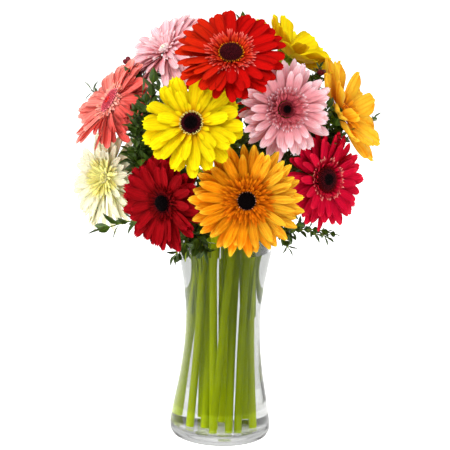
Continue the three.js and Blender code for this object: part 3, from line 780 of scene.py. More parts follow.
def blades(origin, out, side, up, size, bend, shape, tone, flush=0.0, grid_size=PETAL_GRID):
    """Many blades at once, on arrays of (blade, along, across). v runs from 0 at the root to 1 at the
    tip, with rows closer towards the tip, 1 - (1 - share)^1.25, and u from -1 to 1 across.
    Spine: out and up grow by length times the cosine and sine of tilt + curl v^1.5.
    Half width: girth (root + (1 - root) sin(pi e / 2)^1.2) (1 - (1 - tip) w^close), where e runs
    from 0 at the root to 1 at the widest place, and w from 0 there to 1 at the tip.
    Relief, in half widths: sin(0.62 pi v)^0.8 (cup (u^2 - 0.3) + furrow cos 2 pi u), and a waved
    edge, ruffle u^3 sin(2 pi (1.3 v + 7 tone)).
    Roll turns it on its spine, and sway moves it sideways by v^2, in lengths.
    Tip: drawn back by round u^2 v^4 and by teeth (0.4 + 1.2 tone) (1 - cos 3 pi u) / 2 v^12, in
    lengths. The lower side lies thick sqrt(1 - u^2) under the upper one."""
    length, girth = [np.asarray(x, float).reshape(-1, 1, 1) for x in size]
    tilt, curl, roll, sway = [np.asarray(x, float).reshape(-1, 1, 1) for x in bend]
    origin, out, side, up = [x[:, None, None, :] for x in (origin, out, side, up)]
    count = len(origin)
    along, across = grid_size
    v = (1 - (1 - np.linspace(0, 1, along)) ** 1.25).reshape(1, along, 1)
    u = np.linspace(-1, 1, across).reshape(1, 1, across)
    slope = tilt + curl * v**1.5
    middle = (slope[:, 1:] + slope[:, :-1]) / 2
    step = np.diff(v, axis=1)
    start = np.zeros((count, 1, 1))
    run = np.concatenate([start, np.cumsum(np.cos(middle) * step, axis=1)], axis=1) * length
    rise = np.concatenate([start, np.cumsum(np.sin(middle) * step, axis=1)], axis=1) * length
    early = np.clip(v / shape["widest"], 0, 1)
    swell = shape["root"] + (1 - shape["root"]) * np.sin(np.pi / 2 * early) ** 1.2
    late = np.clip((v - shape["widest"]) / (1 - shape["widest"]), 0, 1)
    half = girth * swell * (1 - (1 - shape["tip"]) * late ** shape["close"])
    belly = np.sin(np.pi * v * 0.62) ** 0.8
    luck = tone.reshape(-1, 1, 1)
    ripple = shape["ruffle"] * u**3 * np.sin(2 * np.pi * (1.3 * v + luck * 7))
    folds = shape["cup"] * (u**2 - 0.3) + shape["furrow"] * np.cos(2 * np.pi * u)
    relief = half * (folds * belly + ripple)
    wide = half * u
    crosswise = wide * np.cos(roll) - relief * np.sin(roll) + sway * length * v**2
    proud = wide * np.sin(roll) + relief * np.cos(roll)
    teeth = shape["teeth"] * (0.4 + 1.2 * luck) * (1 - np.cos(3 * np.pi * u)) / 2 * v**12
    short = length * (shape["round"] * u**2 * v**4 + teeth)
    outward = run - short * np.cos(slope) - proud * np.sin(slope)
    upward = rise - short * np.sin(slope) + proud * np.cos(slope)
    upper = origin + outward[..., None] * out + crosswise[..., None] * side + upward[..., None] * up
    thick = (shape["thick"] * np.sqrt(np.clip(1 - u**2, 0, 1)))[..., None]
    below = np.sin(slope)[..., None] * out - np.cos(slope)[..., None] * up
    lower = (upper + thick * below)[:, 1:-1, 1:-1]
    points = np.concatenate([upper.reshape(count, -1, 3), lower.reshape(count, -1, 3)], axis=1)
    each = points.shape[1]
    quads, uvs = blade_faces(along, across)
    numbers = np.arange(count)[:, None, None] * each + quads[None]
    maps = np.broadcast_to(uvs[None], (count, *uvs.shape)).reshape(-1, 4, 2)
    return skin_of(
        points.reshape(-1, 3),
        [numbers.reshape(-1, 4)],
        [maps],
        tone=np.repeat(tone, each),
        flush=np.repeat(np.broadcast_to(flush, tone.shape), each),
        under=np.tile(np.arange(each) >= along * across, count),
    )


# The usual petal, in the words of the formula above. Thick is in mm.
PETAL = {"root": 0.32, "widest": 0.6, "tip": 0.6, "close": 3.2, "round": 0.06, "teeth": 0.02}
PETAL.update({"cup": 0.12, "furrow": 0.06, "ruffle": 0.03, "thick": 0.35})
print("faces on one petal:", len(blade_faces(*PETAL_GRID)[0]))

# %% [markdown]
# ## The heads
# A gerbera head is one grown thing: rows of ray petals, a fringe of short curled florets, and a disc
# of tiny buds, over a green cup of bracts. Every head has its own place, the way it faces, and its
# own habit, from slim and open to wide and cupped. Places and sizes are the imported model's.

# %% Where the heads are
HEADS = {
    # at, facing as compass turn and lift, radius, stem's foot and where it leaves the water
    "red_orange": ((0, -88, 390), (-2, 51), 51, (2, 10), (-1, -2)),
    "pale_pink": ((-59, -8, 376), (-65, 45), 46, (-10, 22), (-8, 19)),
    "coral": ((-108, -20, 328), (-76, 32), 48, (-12, -16), (-8, 8)),
    "yellow": ((-33, -114, 332), (-12, 25), 46, (-5, -17), (-10, -22)),
    "dusty_pink": ((50, -92, 343), (18, 15), 43, (8, -30), (8, -6)),
    "deep_yellow": ((54, -8, 378), (80, 56), 46, (16, 20), (12, 12)),
    "golden": ((103, -36, 328), (70, 26), 54, (27, -12), (19, -4)),
    "crimson": ((88, -68, 273), (42, 11), 46, (15.5, -26.5), (18, -18)),
    "orange": ((18, -122, 265), (0, 5), 52, (-6, -31), (5, -22)),
    "dark_red": ((-56, -82, 250), (-36, 3), 47, (-24, -12), (-16, -10)),
    "white": ((-113, 4, 250), (-50, 12), 45, (-26, 21), (-17, 1)),
    "back_red": ((-2, 86, 322), (180, 28), 48, (3, 30), (3, 25)),
}


def head_frame(name):
    """A head's middle and its own right, up and ahead, as unit vectors."""
    at, faces = HEADS[name][:2]
    ahead = direction(*faces)
    right = unit(np.cross([0.0, 0.0, 1.0], ahead))
    return np.array(at, float), right, np.cross(ahead, right), ahead


def spokes(right, up, turn):
    """Ways out from a head's middle, and ways round it: out = right cos t + up sin t, and
    side = up cos t - right sin t."""
    cos, sin = np.cos(turn)[:, None], np.sin(turn)[:, None]
    return right * cos + up * sin, up * cos - right * sin


print("heads:", len(HEADS))

# %% [markdown]
# Each head's habit is a few rows of petals and of fringe florets. A row says how many, how far they
# reach as a share of the head, half their width, their pitch and curl in degrees, and how high and
# how far out their roots stand. Petals that touch a neighbour turn back, which lean gives as a way
# round the head and an angle. Stretch makes the petals longer or shorter one way, flush gives them
# the second colour one way, and disc is the eye's radius and its rise.

# %% Habits
HABITS = {
    "red_orange": {
        "rows": [
            (23, 1.0, 5.2, 3, -8, 0.0, 8.6),
            (22, 0.96, 4.9, 7, -8, 1.4, 8.4),
            (20, 0.87, 4.6, 11, -8, 2.6, 8.2),
        ],
        "shape": {"tip": 0.66},
        "fringe": [
            (66, 0.5, 0.95, 10, 4, 4.0, 12.0),
            (60, 0.43, 0.9, 22, 10, 4.6, 11.8),
            (54, 0.35, 0.85, 38, 16, 5.2, 11.6),
        ],
        "disc": (11.2, 3.4),
        # The vermilion flush on the left is painted light: lighter and more orange where the lamps fall.
        "flush": (180, 0.35),
    },
    "pale_pink": {
        "rows": [
            (19, 1.0, 5.4, 4, -12, 0.0, 8.6),
            (18, 0.92, 5.2, 12, -14, 1.4, 8.2),
            (14, 0.72, 4.4, 24, -14, 3.0, 7.4),
        ],
        "shape": {"tip": 0.6, "furrow": 0.1, "ruffle": 0.1},
        "fringe": [(30, 0.44, 1.8, 36, -10, 4.4, 6.4), (22, 0.32, 1.5, 56, -10, 5.0, 5.0)],
        "disc": (5.6, 2.8),
        "lean": [(0, 34)],
        "stretch": [(206, 0.17)],
    },
    "coral": {
        "rows": [
            (20, 1.0, 7.0, 4, -6, 0.0, 8.6),
            (20, 0.93, 6.8, 8, -8, 1.5, 8.4),
            (18, 0.78, 6.0, 13, -12, 3.0, 8.2),
        ],
        "shape": {"tip": 0.62, "furrow": 0.1, "cup": 0.16},
        "fringe": [(40, 0.42, 1.5, 18, -10, 4.4, 12.4), (36, 0.36, 1.3, 32, -10, 4.8, 12.2)],
        "disc": (12.4, 2.6),
        "lean": [(0, 36), (225, -8)],
        "stretch": [(0, -0.12), (222, 0.16)],
        # The brick flush on the near side is painted shade, where the folded-back near petals lie in
        # shadow.
        "flush": (0, 0.8),
    },
    "yellow": {
        "rows": [
            (16, 1.02, 6.9, 3, -8, 0.0, 8.6),
            (15, 0.96, 6.5, 8, -7, 1.6, 8.4),
            (7, 0.72, 5.2, 13, -8, 3.2, 8.2),
        ],
        "shape": {"tip": 0.7, "round": 0.05, "teeth": 0.045, "furrow": 0.12, "cup": 0.1, "ruffle": 0.08},
        "fringe": [(12, 0.42, 1.9, 14, -6, 4.2, 9.6), (56, 0.25, 0.6, 40, -20, 5.2, 9.8)],
        "disc": (9.4, 3.2),
    },
    "dusty_pink": {
        "rows": [
            (24, 1.05, 4.3, 3, -8, 0.0, 8.6),
            (23, 0.98, 4.1, 8, -8, 1.6, 8.4),
            (19, 0.85, 3.8, 13, -8, 3.0, 8.2),
        ],
        "shape": {"tip": 0.52, "teeth": 0.04, "furrow": 0.1, "cup": 0.1},
        "fringe": [
            (60, 0.5, 1.3, 6, 30, 4.2, 9.2),
            (58, 0.43, 1.2, 20, 34, 4.8, 8.8),
            (54, 0.36, 1.1, 36, 34, 5.2, 8.2),
        ],
        "disc": (6.9, 2.8),
    },
    "deep_yellow": {
        "rows": [(9, 1.0, 12.0, 14, 8, 0.0, 8.6), (7, 0.9, 10.5, 27, 6, 1.8, 8.4)],
        "shape": {"tip": 0.66, "round": 0.09, "teeth": 0.03, "furrow": 0.12, "cup": 0.2, "ruffle": 0.08},
        "fringe": [(16, 0.2, 1.8, 50, -6, 4.4, 5.0)],
        "disc": (5.0, 1.6),
        "lean": [(190, -12)],
    },
    "golden": {
        "rows": [(9, 1.02, 10.4, 8, 6, 0.0, 8.6), (7, 0.9, 9.4, 22, 8, 1.8, 8.4)],
        "shape": {"root": 0.24, "tip": 0.56, "round": 0.09, "teeth": 0.03, "furrow": 0.14, "cup": 0.24,
                  "ruffle": 0.06},
        "fringe": [(22, 0.4, 2.4, 28, -6, 4.4, 8.6)],
        "disc": (8.0, 3.0),
        "lean": [(190, -16)],
    },
    "crimson": {
        "rows": [
            (20, 1.04, 4.7, 3, -6, 0.0, 8.6),
            (19, 0.97, 4.5, 8, -6, 1.6, 8.4),
            (15, 0.82, 4.0, 14, -6, 3.0, 8.2),
        ],
        "shape": {"tip": 0.56, "teeth": 0.03, "furrow": 0.1, "cup": 0.2},
        "fringe": [(56, 0.45, 1.2, 20, 12, 4.4, 12.0), (50, 0.39, 1.1, 36, 20, 5.0, 11.8)],
        "disc": (11.6, 3.6),
    },
    "orange": {
        "rows": [
            (20, 0.98, 5.0, 1, -6, 0.0, 8.6),
            (20, 0.94, 4.8, 5, -6, 1.4, 8.4),
            (19, 0.85, 4.4, 9, -6, 2.6, 8.2),
        ],
        "shape": {"tip": 0.46, "teeth": 0.02, "furrow": 0.16, "cup": 0.2},
        "fringe": [
            (54, 0.52, 1.3, 10, 4, 4.2, 8.8),
            (52, 0.44, 1.2, 20, 10, 4.6, 8.6),
            (48, 0.36, 1.0, 32, 14, 5.0, 8.5),
            (40, 0.27, 0.9, 48, 16, 5.4, 8.4),
        ],
        "disc": (8.0, 3.0),
        "flush": (0, 1.0),
    },
    "dark_red": {
        "rows": [
            (18, 1.02, 6.0, 5, -6, 0.0, 8.6),
            (18, 0.96, 5.6, 9, -4, 1.5, 8.4),
            (15, 0.84, 5.0, 14, -4, 2.8, 8.2),
        ],
        "shape": {"tip": 0.46, "teeth": 0.08, "furrow": 0.14, "cup": 0.2, "ruffle": 0.08},
        "fringe": [(46, 0.4, 1.1, 16, -6, 4.4, 7.8), (44, 0.32, 1.0, 30, -6, 4.8, 7.6)],
        "disc": (7.6, 3.2),
    },
    "white": {
        "rows": [
            (24, 1.02, 4.7, 2, -12, 0.0, 8.6),
            (23, 0.96, 4.4, 7, -12, 1.4, 8.2),
            (21, 0.84, 4.0, 14, -12, 2.6, 7.6),
            (18, 0.66, 3.4, 25, -12, 3.6, 6.6),
        ],
        "shape": {"tip": 0.46, "teeth": 0.03, "furrow": 0.08, "cup": 0.12, "ruffle": 0.1},
        "fringe": [(30, 0.5, 2.0, 34, -8, 4.4, 5.4), (22, 0.36, 1.7, 52, -6, 4.8, 4.2)],
        "disc": (4.6, 2.6),
        "lean": [(0, 24), (200, -5)],
        "stretch": [(275, 0.17)],
    },
    "back_red": {
        "rows": [
            (20, 1.0, 5.2, 2, -8, 0.0, 8.6),
            (20, 0.95, 5.0, 7, -8, 1.4, 8.4),
            (17, 0.84, 4.6, 12, -8, 2.8, 8.2),
        ],
        "fringe": [(46, 0.44, 1.2, 18, -10, 4.4, 9.6), (42, 0.36, 1.1, 32, -16, 5.0, 9.4)],
        "disc": (9.0, 3.2),
    },
}
# how far petals stray: turn in radians, length, girth and sway as shares, the rest in degrees
UNEVEN = {"turn": 0.06, "length": 0.05, "girth": 0.08, "pitch": 2.6, "curl": 6.0, "roll": 7.0, "sway": 0.05}
# how far every petal is rolled, in degrees
OVERLAP_ROLL = 7.0
# how much of its lean a petal also bends, and how soon a flush is full
LEAN_BOW = 0.8
FLUSH_GAIN = 1.3
print("petals in all:", sum(row[0] for habit in HABITS.values() for row in habit["rows"]))

# %% [markdown]
# Rows are set round the head evenly, each between the petals of the row below, and then drawn a
# little uneven by a seeded random draw. Every petal is rolled a few degrees the same way, so that one
# edge lies over its neighbour, as petals do.


# %% Rows of blades round a head
def towards(turn, way):
    """1 for a petal that points at the angle way, in degrees, falling to 0 a quarter turn off."""
    return np.clip(np.cos(turn - math.radians(way)), 0, None)


def head_rows(name, rows, shape, seed, grid_size=PETAL_GRID, wild=1.0, warm=0.0):
    """Rows of blades round a head. Wild makes them less even, and warm flushes the upper rows."""
    at, right, up, ahead = head_frame(name)
    radius = HEADS[name][2]
    habit = HABITS[name]
    flush_turn, flush_share = habit.get("flush", (0, 0))
    draw = np.random.default_rng(seed)
    shape = {**PETAL, **shape}
    skins = []
    for level, (count, reach, girth, pitch, curl, height, root) in enumerate(rows):
        stray = {key: draw.normal(0, much * wild, count) for key, much in UNEVEN.items()}
        turn = 2 * np.pi * (np.arange(count) + 0.5 * (level % 2) + 0.25) / count + stray["turn"]
        out, side = spokes(right, up, turn)
        origin = at + ahead * height + out * root
        bent = sum(much * towards(turn, way) ** 1.5 for way, much in habit.get("lean", []))
        longer = sum(much * towards(turn, way) ** 2 for way, much in habit.get("stretch", []))
        # A petal that turns back at its root also bends back along its length.
        tilt = np.radians(pitch - bent + stray["pitch"])
        bow = np.radians(curl - bent * LEAN_BOW + stray["curl"])
        roll = np.radians(OVERLAP_ROLL + stray["roll"])
        length = (reach * radius - root) * (1 + stray["length"] + longer)
        width = girth * (1 + stray["girth"])
        flush = flush_share * np.clip(towards(turn, flush_turn) * FLUSH_GAIN, 0, 1)
        flush = np.maximum(flush, warm * level / max(1, len(rows) - 1))
        upright = np.broadcast_to(ahead, out.shape)
        size, bend = (length, width), (tilt, bow, roll, stray["sway"])
        tone = draw.uniform(0, 1, count)
        skins.append(blades(origin, out, side, upright, size, bend, shape, tone, flush, grid_size))
    return joined(skins)


print("rows are ready")

# %% [markdown]
# ### Petal colours
# Each head gets a paint of its own: root, blade, tip, a flush that comes in on some petals, and veins.
# Its fringe gets another one, without veins. Pale petals let less light through them here, so that
# they keep their shading.

# %% Petal and fringe finishes
PALE = {"Subsurface_Weight": 0.2}
PETAL_PAINT = {
    # root, blade, tip, flush, vein and underside, and then the numbers that are not the usual ones.
    # Where a colour isn't given, flush and underside are the blade's, and the vein is the root's.
    # Each head's number for its sides sets how dark its petals' sides are painted, as painted shade.
    "red_orange": (("blood", "scarlet", "scarlet", "vermilion"), {"Edge": 0.4}),
    # The pale pink's rose root and veins are partly its own deeper pink and partly painted shade between
    # the petals.
    "pale_pink": (
        ("rose", "blush_pink", "shell_pink"), {"Root Reach": 0.65, "Veins": 0.55, "Edge": 0.4, **PALE}
    ),
    # The coral's brick veins are partly its own streaks and partly painted shade between the folds.
    "coral": (("light_salmon", "salmon", "light_salmon", "brick", "brick"), {"Veins": 0.4, "Edge": 0.45}),
    "yellow": (("mustard", "lemon", "sunlit_lemon"), {"Veins": 0.4}),
    "dusty_pink": (
        ("deep_rose", "dusty", "dusty_tip", None, "rose"),
        {"Root Reach": 0.5, "Tip Start": 0.5, "Edge": 0.12, "Veins": 0.5},
    ),
    # Its umber underside is partly a duller underside and partly painted shade, where the undersides lie in
    # shadow.
    "deep_yellow": (("gold", "gold", "buttercup", None, "mustard", "umber"), {}),
    "golden": (
        ("tangerine", "amber", "amber", None, "marigold"), {"Root Reach": 0.6, "Veins": 0.5, "Edge": 0.15}
    ),
    "crimson": (("garnet", "crimson", "bright_crimson"), {}),
    "orange": (
        ("rust", "marigold", "amber", "amber", "tangerine"),
        {"Root Reach": 0.5, "Veins": 0.4, "Uneven": 0.4},
    ),
    "dark_red": (("wine", "garnet", "ruby"), {}),
    "white": (("lime", "ivory", "cream", None, "ivory"), {"Root Reach": 0.6, "Edge": 0.05, **PALE}),
    "back_red": (("blood", "scarlet", "scarlet"), {}),
}
FRINGE_PAINT = {
    # root, blade, tip and flush
    "red_orange": ("blood", "brick", "salmon", "vermilion"),
    "pale_pink": ("rose", "blush_pink", "shell_pink"),
    "coral": ("peach", "light_salmon", "peach"),
    "yellow": ("mustard", "lemon", "lemon", "lime"),
    "dusty_pink": ("deep_rose", "rose", "dusty_tip", "deep_rose"),
    "deep_yellow": ("mustard", "gold", "lemon"),
    "golden": ("rust", "marigold", "honey"),
    "crimson": ("wine", "crimson", "light_salmon"),
    "orange": ("rust", "tangerine", "marigold", "tangerine"),
    "dark_red": ("black_cherry", "wine", "garnet"),
    "white": ("lime", "lime", "cream"),
    "back_red": ("blood", "vermilion", "peach"),
}
FRINGE_VALUES = {"Root Reach": 0.6, "Veins": 0.0, "Tip Start": 0.55}
FRINGE_SHAPE = {"root": 0.5, "widest": 0.7, "tip": 0.5, "round": 0.1, "teeth": 0.06, "furrow": 0.0}
FRINGE_SHAPE["cup"] = 0.5
FRINGE_WILD = 1.8
# The back head is the same kind as the red-orange one. A slot name is worked out for each head, but
# nothing uses it.
ROW_SLOT = {"back_red": "petals_red_orange"}
# the seed of each head's petals, with the next three for its fringe, eye and bracts
SEEDS = {name: 11 + 10 * k for k, name in enumerate(HEADS)}
for name, habit in HABITS.items():
    slot = ROW_SLOT.get(name, f"petals_{name}")
    rays = head_rows(name, habit["rows"], habit.get("shape", {}), SEEDS[name])
    colours, values = PETAL_PAINT[name]
    finish = blade_material(f"{name}_petal", *colours, **values)
    piece(f"{name}_rays", rays, f"{name}_petals", finish)
    fringe = head_rows(name, habit["fringe"], FRINGE_SHAPE, SEEDS[name] + 1, SMALL_GRID, FRINGE_WILD, 1.0)
    soft = {key: value for key, value in values.items() if key in PALE}
    finish = blade_material(f"{name}_fringe", *FRINGE_PAINT[name], **FRINGE_VALUES, **soft)
    piece(f"{name}_fringe", fringe, None, finish)
    print(name, "rays and fringe triangles:", TALLY[f"{name}_rays"], TALLY[f"{name}_fringe"])

# %% [markdown]
# ### The discs
# The eye of a head is a dome packed with buds, set by the sunflower rule: each bud stands a golden
# angle on from the last, at a distance that grows with the square root of its number. A bump could
# fake them, but the eyes are seen close and from the side, so each bud has its few faces.

# %% Disc buds
GOLDEN_ANGLE = math.pi * (3 - math.sqrt(5))
# how many buds, and how far ahead of the head's middle they start, in mm
DISC_BUDS = 190
DISC_BASE = 4.9
# shares of the rise by which the dome falls to its rim and dips in its middle, how far out the dip
# reaches, and how far the outer buds splay
DOME = {"fall": 0.75, "dip": 0.28, "dip_reach": 0.35, "splay": 0.45}
# the dome's sides, how far it goes down behind its base, in mm, and its outline over the base as shares
# of the radius and the rise
DOME_SIDES = 24
DOME_DEPTH = 2.0
CROWN = [(0.5, 0.5), (0.0, 0.55)]
# a bud's outline as radius and height, its sides, how deep it sits, and the spans of its own size
BUD = [(1.0, 0.0), (1.0, 0.55), (0.55, 0.95)]
BUD_SIDES = 6
BUD_SUNK = 1.0
BUD_WIDE = (0.75, 0.98)
BUD_TALL = (1.5, 2.3)


def repeated(points, faces, uvs, **marks):
    """Many copies of one set of faces, on points of (copy, point, 3)."""
    count, each, _ = points.shape
    step = np.arange(count)[:, None, None] * each
    numbers = [(step + f[None]).reshape(-1, f.shape[1]) for f in faces]
    maps = [np.broadcast_to(u[None], (count, *u.shape)).reshape(-1, *u.shape[1:]) for u in uvs]
    spread = {key: np.repeat(value, each) for key, value in marks.items()}
    return skin_of(points.reshape(-1, 3), numbers, maps, **spread)


def buds(origin, out, side, ahead, radius, height, **marks):
    """Small closed buds: rings at radius r and height h of the bud's outline, over a middle point. Each
    point is origin + out x + side y + ahead z."""
    angle = full_turn(BUD_SIDES)
    wide, high = np.array(BUD).T[:, :, None]
    model = np.stack([wide * np.cos(angle), wide * np.sin(angle), high + 0 * angle], axis=-1)
    one = capped(model, (0, 0, 0), (0, 0, 1))
    local = one["points"][None] * np.stack([radius, radius, height], axis=-1)[:, None, :]
    points = (
        origin[:, None]
        + local[..., 0:1] * out[:, None]
        + local[..., 1:2] * side[:, None]
        + local[..., 2:3] * ahead[:, None]
    )
    return repeated(points, one["faces"], one["uvs"], **marks)


def disc(name, radius, rise, seed):
    """A dome with buds all over: bud k is radius sqrt(k / n) out, at k golden angles. It stands
    rise (1 - fall s^2) (1 - dip + dip d) above the base, and leans out by splay s, where s is its
    share of the way out and d is s / reach, but never more than 1."""
    at, right, up, ahead = head_frame(name)
    draw = np.random.default_rng(seed)
    number = np.arange(DISC_BUDS) + 0.5
    share = np.sqrt(number / DISC_BUDS)
    turn = number * GOLDEN_ANGLE
    out, side = spokes(right, up, turn)
    dip = 1 - DOME["dip"] + DOME["dip"] * np.clip(share / DOME["dip_reach"], 0, 1)
    lift = DISC_BASE + rise * (1 - DOME["fall"] * share**2) * dip
    lean = DOME["splay"] * share[:, None]
    stand = unit(ahead + out * lean)
    spread = unit(out - ahead * lean)
    origin = at + out * (radius * share)[:, None] + ahead * (lift - BUD_SUNK)[:, None]
    size = radius / math.sqrt(DISC_BUDS) * draw.uniform(*BUD_WIDE, DISC_BUDS)
    tall = draw.uniform(*BUD_TALL, DISC_BUDS)
    top = buds(origin, spread, side, stand, size, tall, tone=draw.uniform(0, 1, DISC_BUDS), flush=share)
    # The dome under the buds stays lower than they do, and shows only between them.
    wall = [(0, DISC_BASE - DOME_DEPTH), (radius, DISC_BASE - DOME_DEPTH), (radius, DISC_BASE)]
    crown = [(radius * wide, DISC_BASE + rise * high) for wide, high in CROWN]
    dome = turned([*wall, *crown], DOME_SIDES)
    dome["points"] = at + dome["points"] @ np.stack([right, up, ahead])
    dome["marks"] = {"tone": np.zeros(len(dome["points"])), "flush": np.full(len(dome["points"]), 0.5)}
    return joined([top, dome])


print("buds in a disc:", DISC_BUDS)

# %% [markdown]
# Most eyes are nearly black, with a warmer rim where the outer buds have opened. The bud's mark says
# how far out it stands. Each bud's foot is painted darker than its tip, as painted shade between the
# packed buds, and some buds are lighter than others.

# %% The disc group and its finishes
# how far the middle's edge is blurred, as a share of the way out
MIDDLE_BLUR = 0.12
# painted light on each bud: how much its tip adds to its foot, which is painted shade between the
# packed buds, and, as the buds' own tone, the brightest bud to that of the dullest
TIP_LIGHT, OWN_LIGHT = (0.7, 0.5), (0.7, 0.65)
disc_group, n, given, wanted = group(
    "disc_paint",
    ("Middle", "Field", "Rim"),
    {"Middle Reach": 0.4, "Rim Start": 0.8},
    {"Color": "Color"},
)
far = n.mark("flush")
edge = n.math("SUBTRACT", given["Middle Reach"], MIDDLE_BLUR)
inner = n.ramp(far, edge, given["Middle Reach"])
colour = n.mix(inner, given["Middle"], given["Field"])
colour = n.mix(n.ramp(far, given["Rim Start"], 1.0), colour, given["Rim"])
# A bud's foot is painted darker than its tip, as painted shade between the packed buds.
bud_shade_and_tone = n.math("MULTIPLY_ADD", n.math("POWER", n.own_map()[1], 2.0), *TIP_LIGHT)
bud_shade_and_tone = n.math("MULTIPLY", bud_shade_and_tone, n.math("MULTIPLY_ADD", n.mark("tone"), *OWN_LIGHT))
n.join(n.shaded(colour, bud_shade_and_tone), wanted["Color"])

EYE_FINISH = {"Roughness": 0.7, "Specular_IOR_Level": 0.08}
DISC_PAINT = {
    # middle, field, rim, how far the middle reaches, where the rim starts, and a slot name that nothing
    # uses
    "red_orange": ("black_cherry", "black_cherry", "marigold", 0.5, 0.86, "eye_dark"),
    "pale_pink": ("cream", "shell_pink", "shell_pink", 0.4, 0.7, "eye_cream"),
    "coral": ("brick", "deep_rose", "rose", 0.4, 0.8, "eye_rust"),
    "yellow": ("black", "black_cherry", "lime", 0.7, 0.93, "eye_dark"),
    "dusty_pink": ("black", "plum", "deep_rose", 0.58, 0.75, "eye_dark"),
    "deep_yellow": ("gold", "lemon", "lemon", 0.3, 0.6, "eye_dark"),
    "golden": ("tangerine", "tangerine", "amber", 0.4, 0.8, "eye_orange"),
    "crimson": ("black", "black_cherry", "wine", 0.5, 0.7, "eye_dark"),
    "orange": ("black", "black", "peach", 0.7, 0.93, "eye_dark"),
    "dark_red": ("black", "black", "wine", 0.7, 0.9, "eye_dark"),
    "white": ("lime", "lime", "ivory", 0.4, 0.7, "eye_lime"),
    "back_red": ("black", "black_cherry", "tangerine", 0.4, 0.85, "eye_dark"),
}
for name, (middle, field, rim, reach, start, slot) in DISC_PAINT.items():
    colours = {"Middle": middle, "Field": field, "Rim": rim}
    numbers = {"Middle Reach": reach, "Rim Start": start}
    material = painted(f"{name}_eye", disc_group, colours, numbers, **EYE_FINISH)[0]
    radius, rise = HABITS[name]["disc"]
    piece(f"{name}_disc", disc(name, radius, rise, SEEDS[name] + 2), f"{name}_eye", material)
print("triangles in a disc:", TALLY["red_orange_disc"])

# %% [markdown]
# ## Stems
# Each stem stands on the vase's floor, runs straight through the water, and then bends out to its
# head. It is faintly ribbed. The cup under the head is part of it, with three rows of bracts. A curve
# with a round bevel would give a plain stem. Rings that are worked out can have ribs, and can widen
# into the cup.

# %% Stem paths
# the radius at both ends, how strongly each end of the bend is drawn straight, ribs and sides
STEM = {"low": 3.4, "high": 3.0, "water_reach": 0.42, "head_reach": 0.34}
STEM.update({"ribs": 9, "rib_depth": 0.035, "sides": 28})
# the cup's length, how far it stands behind the petals' roots, and the gap under the cut end
CUP_LENGTH = 15.0
HEAD_BACK = 1.3
FLOOR_GAP = 0.3
# A stem's tone is its seed times this, less the whole part, so the stems differ.
TONE_STEP = 0.37


def stem_path(name):
    """Points up a stem: straight from foot to mouth, then a cubic with its ends along the stem and the
    head: (1-t)^3 a + 3 t (1-t)^2 b + 3 t^2 (1-t) c + t^3 d."""
    at, _, _, ahead = head_frame(name)
    foot_xy, mouth_xy = np.array(HEADS[name][3], float), np.array(HEADS[name][4], float)
    ground = INNER_FLOOR + FLOOR_GAP
    lean = np.linalg.norm(mouth_xy - foot_xy) / (WATER_LEVEL - ground)
    foot = np.array([*foot_xy, ground + STEM["low"] * lean])
    mouth = np.array([*mouth_xy, WATER_LEVEL])
    neck = at - ahead * (CUP_LENGTH + HEAD_BACK)
    rise = unit(mouth - foot)
    span = np.linalg.norm(neck - mouth)
    t = np.linspace(0, 1, 34)[1:, None]
    b = mouth + rise * span * STEM["water_reach"]
    c = neck - ahead * span * STEM["head_reach"]
    bend = (1 - t) ** 3 * mouth + 3 * t * (1 - t) ** 2 * b + 3 * t**2 * (1 - t) * c + t**3 * neck
    straight = foot + (mouth - foot) * np.linspace(0, 1, 16)[:, None]
    return np.concatenate([straight, bend])


# the cup's outline as radius and height
CUP = smooth_through(
    [(STEM["high"], 0.0), (3.6, 2.0), (5.8, 4.5), (8.8, 8.6), (9.4, 11.5), (7.8, CUP_LENGTH)], 14
)


def stalk(name):
    """A ribbed tube whose radius is r (1 + depth cos(ribs t)), running into the turned cup. Each stem
    has a tone of its own."""
    ahead = head_frame(name)[3]
    path = stem_path(name)
    sides = STEM["sides"]
    angle = full_turn(sides)
    radius = np.linspace(STEM["low"], STEM["high"], len(path))[:, None]
    ribbed = radius * (1 + STEM["rib_depth"] * np.cos(STEM["ribs"] * angle))
    cup_path = path[-1] + ahead * CUP[1:, 1:]
    cup_radius = np.broadcast_to(CUP[1:, :1], (len(CUP) - 1, sides))
    tone = SEEDS[name] * TONE_STEP % 1.0
    whole = np.concatenate([path, cup_path])
    return tube(whole, np.concatenate([ribbed, cup_radius]), sides, tone=tone, flush=0.0)


print("points up a stem:", len(stem_path("orange")))

# %% [markdown]
# Fresh stems are a waxy yellow-green, some deeper and some nearer olive, with faint streaks along
# them. Towards the cup they take on the duller green of the bracts.

# %% Stem finish
STEM_LOOK = {
    "waves": (900.0, 900.0, 40.0),  # few of them upwards, so the spots become streaks
    "streak": (0.5, 0.75),  # the span of the noise in which a streak comes in
    "strength": 0.5,  # how strongly the streaks show
    "cup_start": 0.85,  # how far up the bracts' green starts
    "relief": (0.15, 0.0004),  # the bump's strength, and its depth in metres
}
stem_finish, nodes, shader = principled(
    "stem",
    Roughness=0.55,
    Specular_IOR_Level=0.05,
    Subsurface_Weight=0.1,
    Subsurface_Scale=0.001,
    Subsurface_Radius=(0.8, 1.0, 0.2),
)
streak = nodes.clouds(STEM_LOOK["waves"])
streaked = nodes.math("MULTIPLY", nodes.ramp(streak, *STEM_LOOK["streak"]), STEM_LOOK["strength"])
body = nodes.mix(nodes.mark("tone"), ink("stem_green"), ink("stem_shade"))
body = nodes.mix(streaked, body, ink("stem_shade"))
near_cup = nodes.ramp(nodes.own_map()[1], STEM_LOOK["cup_start"], 1.0)
body = nodes.mix(near_cup, body, ink("bract_green"))
nodes.join(body, shader.inputs["Base Color"])
nodes.relief(shader, streak, *STEM_LOOK["relief"])
print("the stem's finish has", len(nodes.tree.nodes), "nodes")

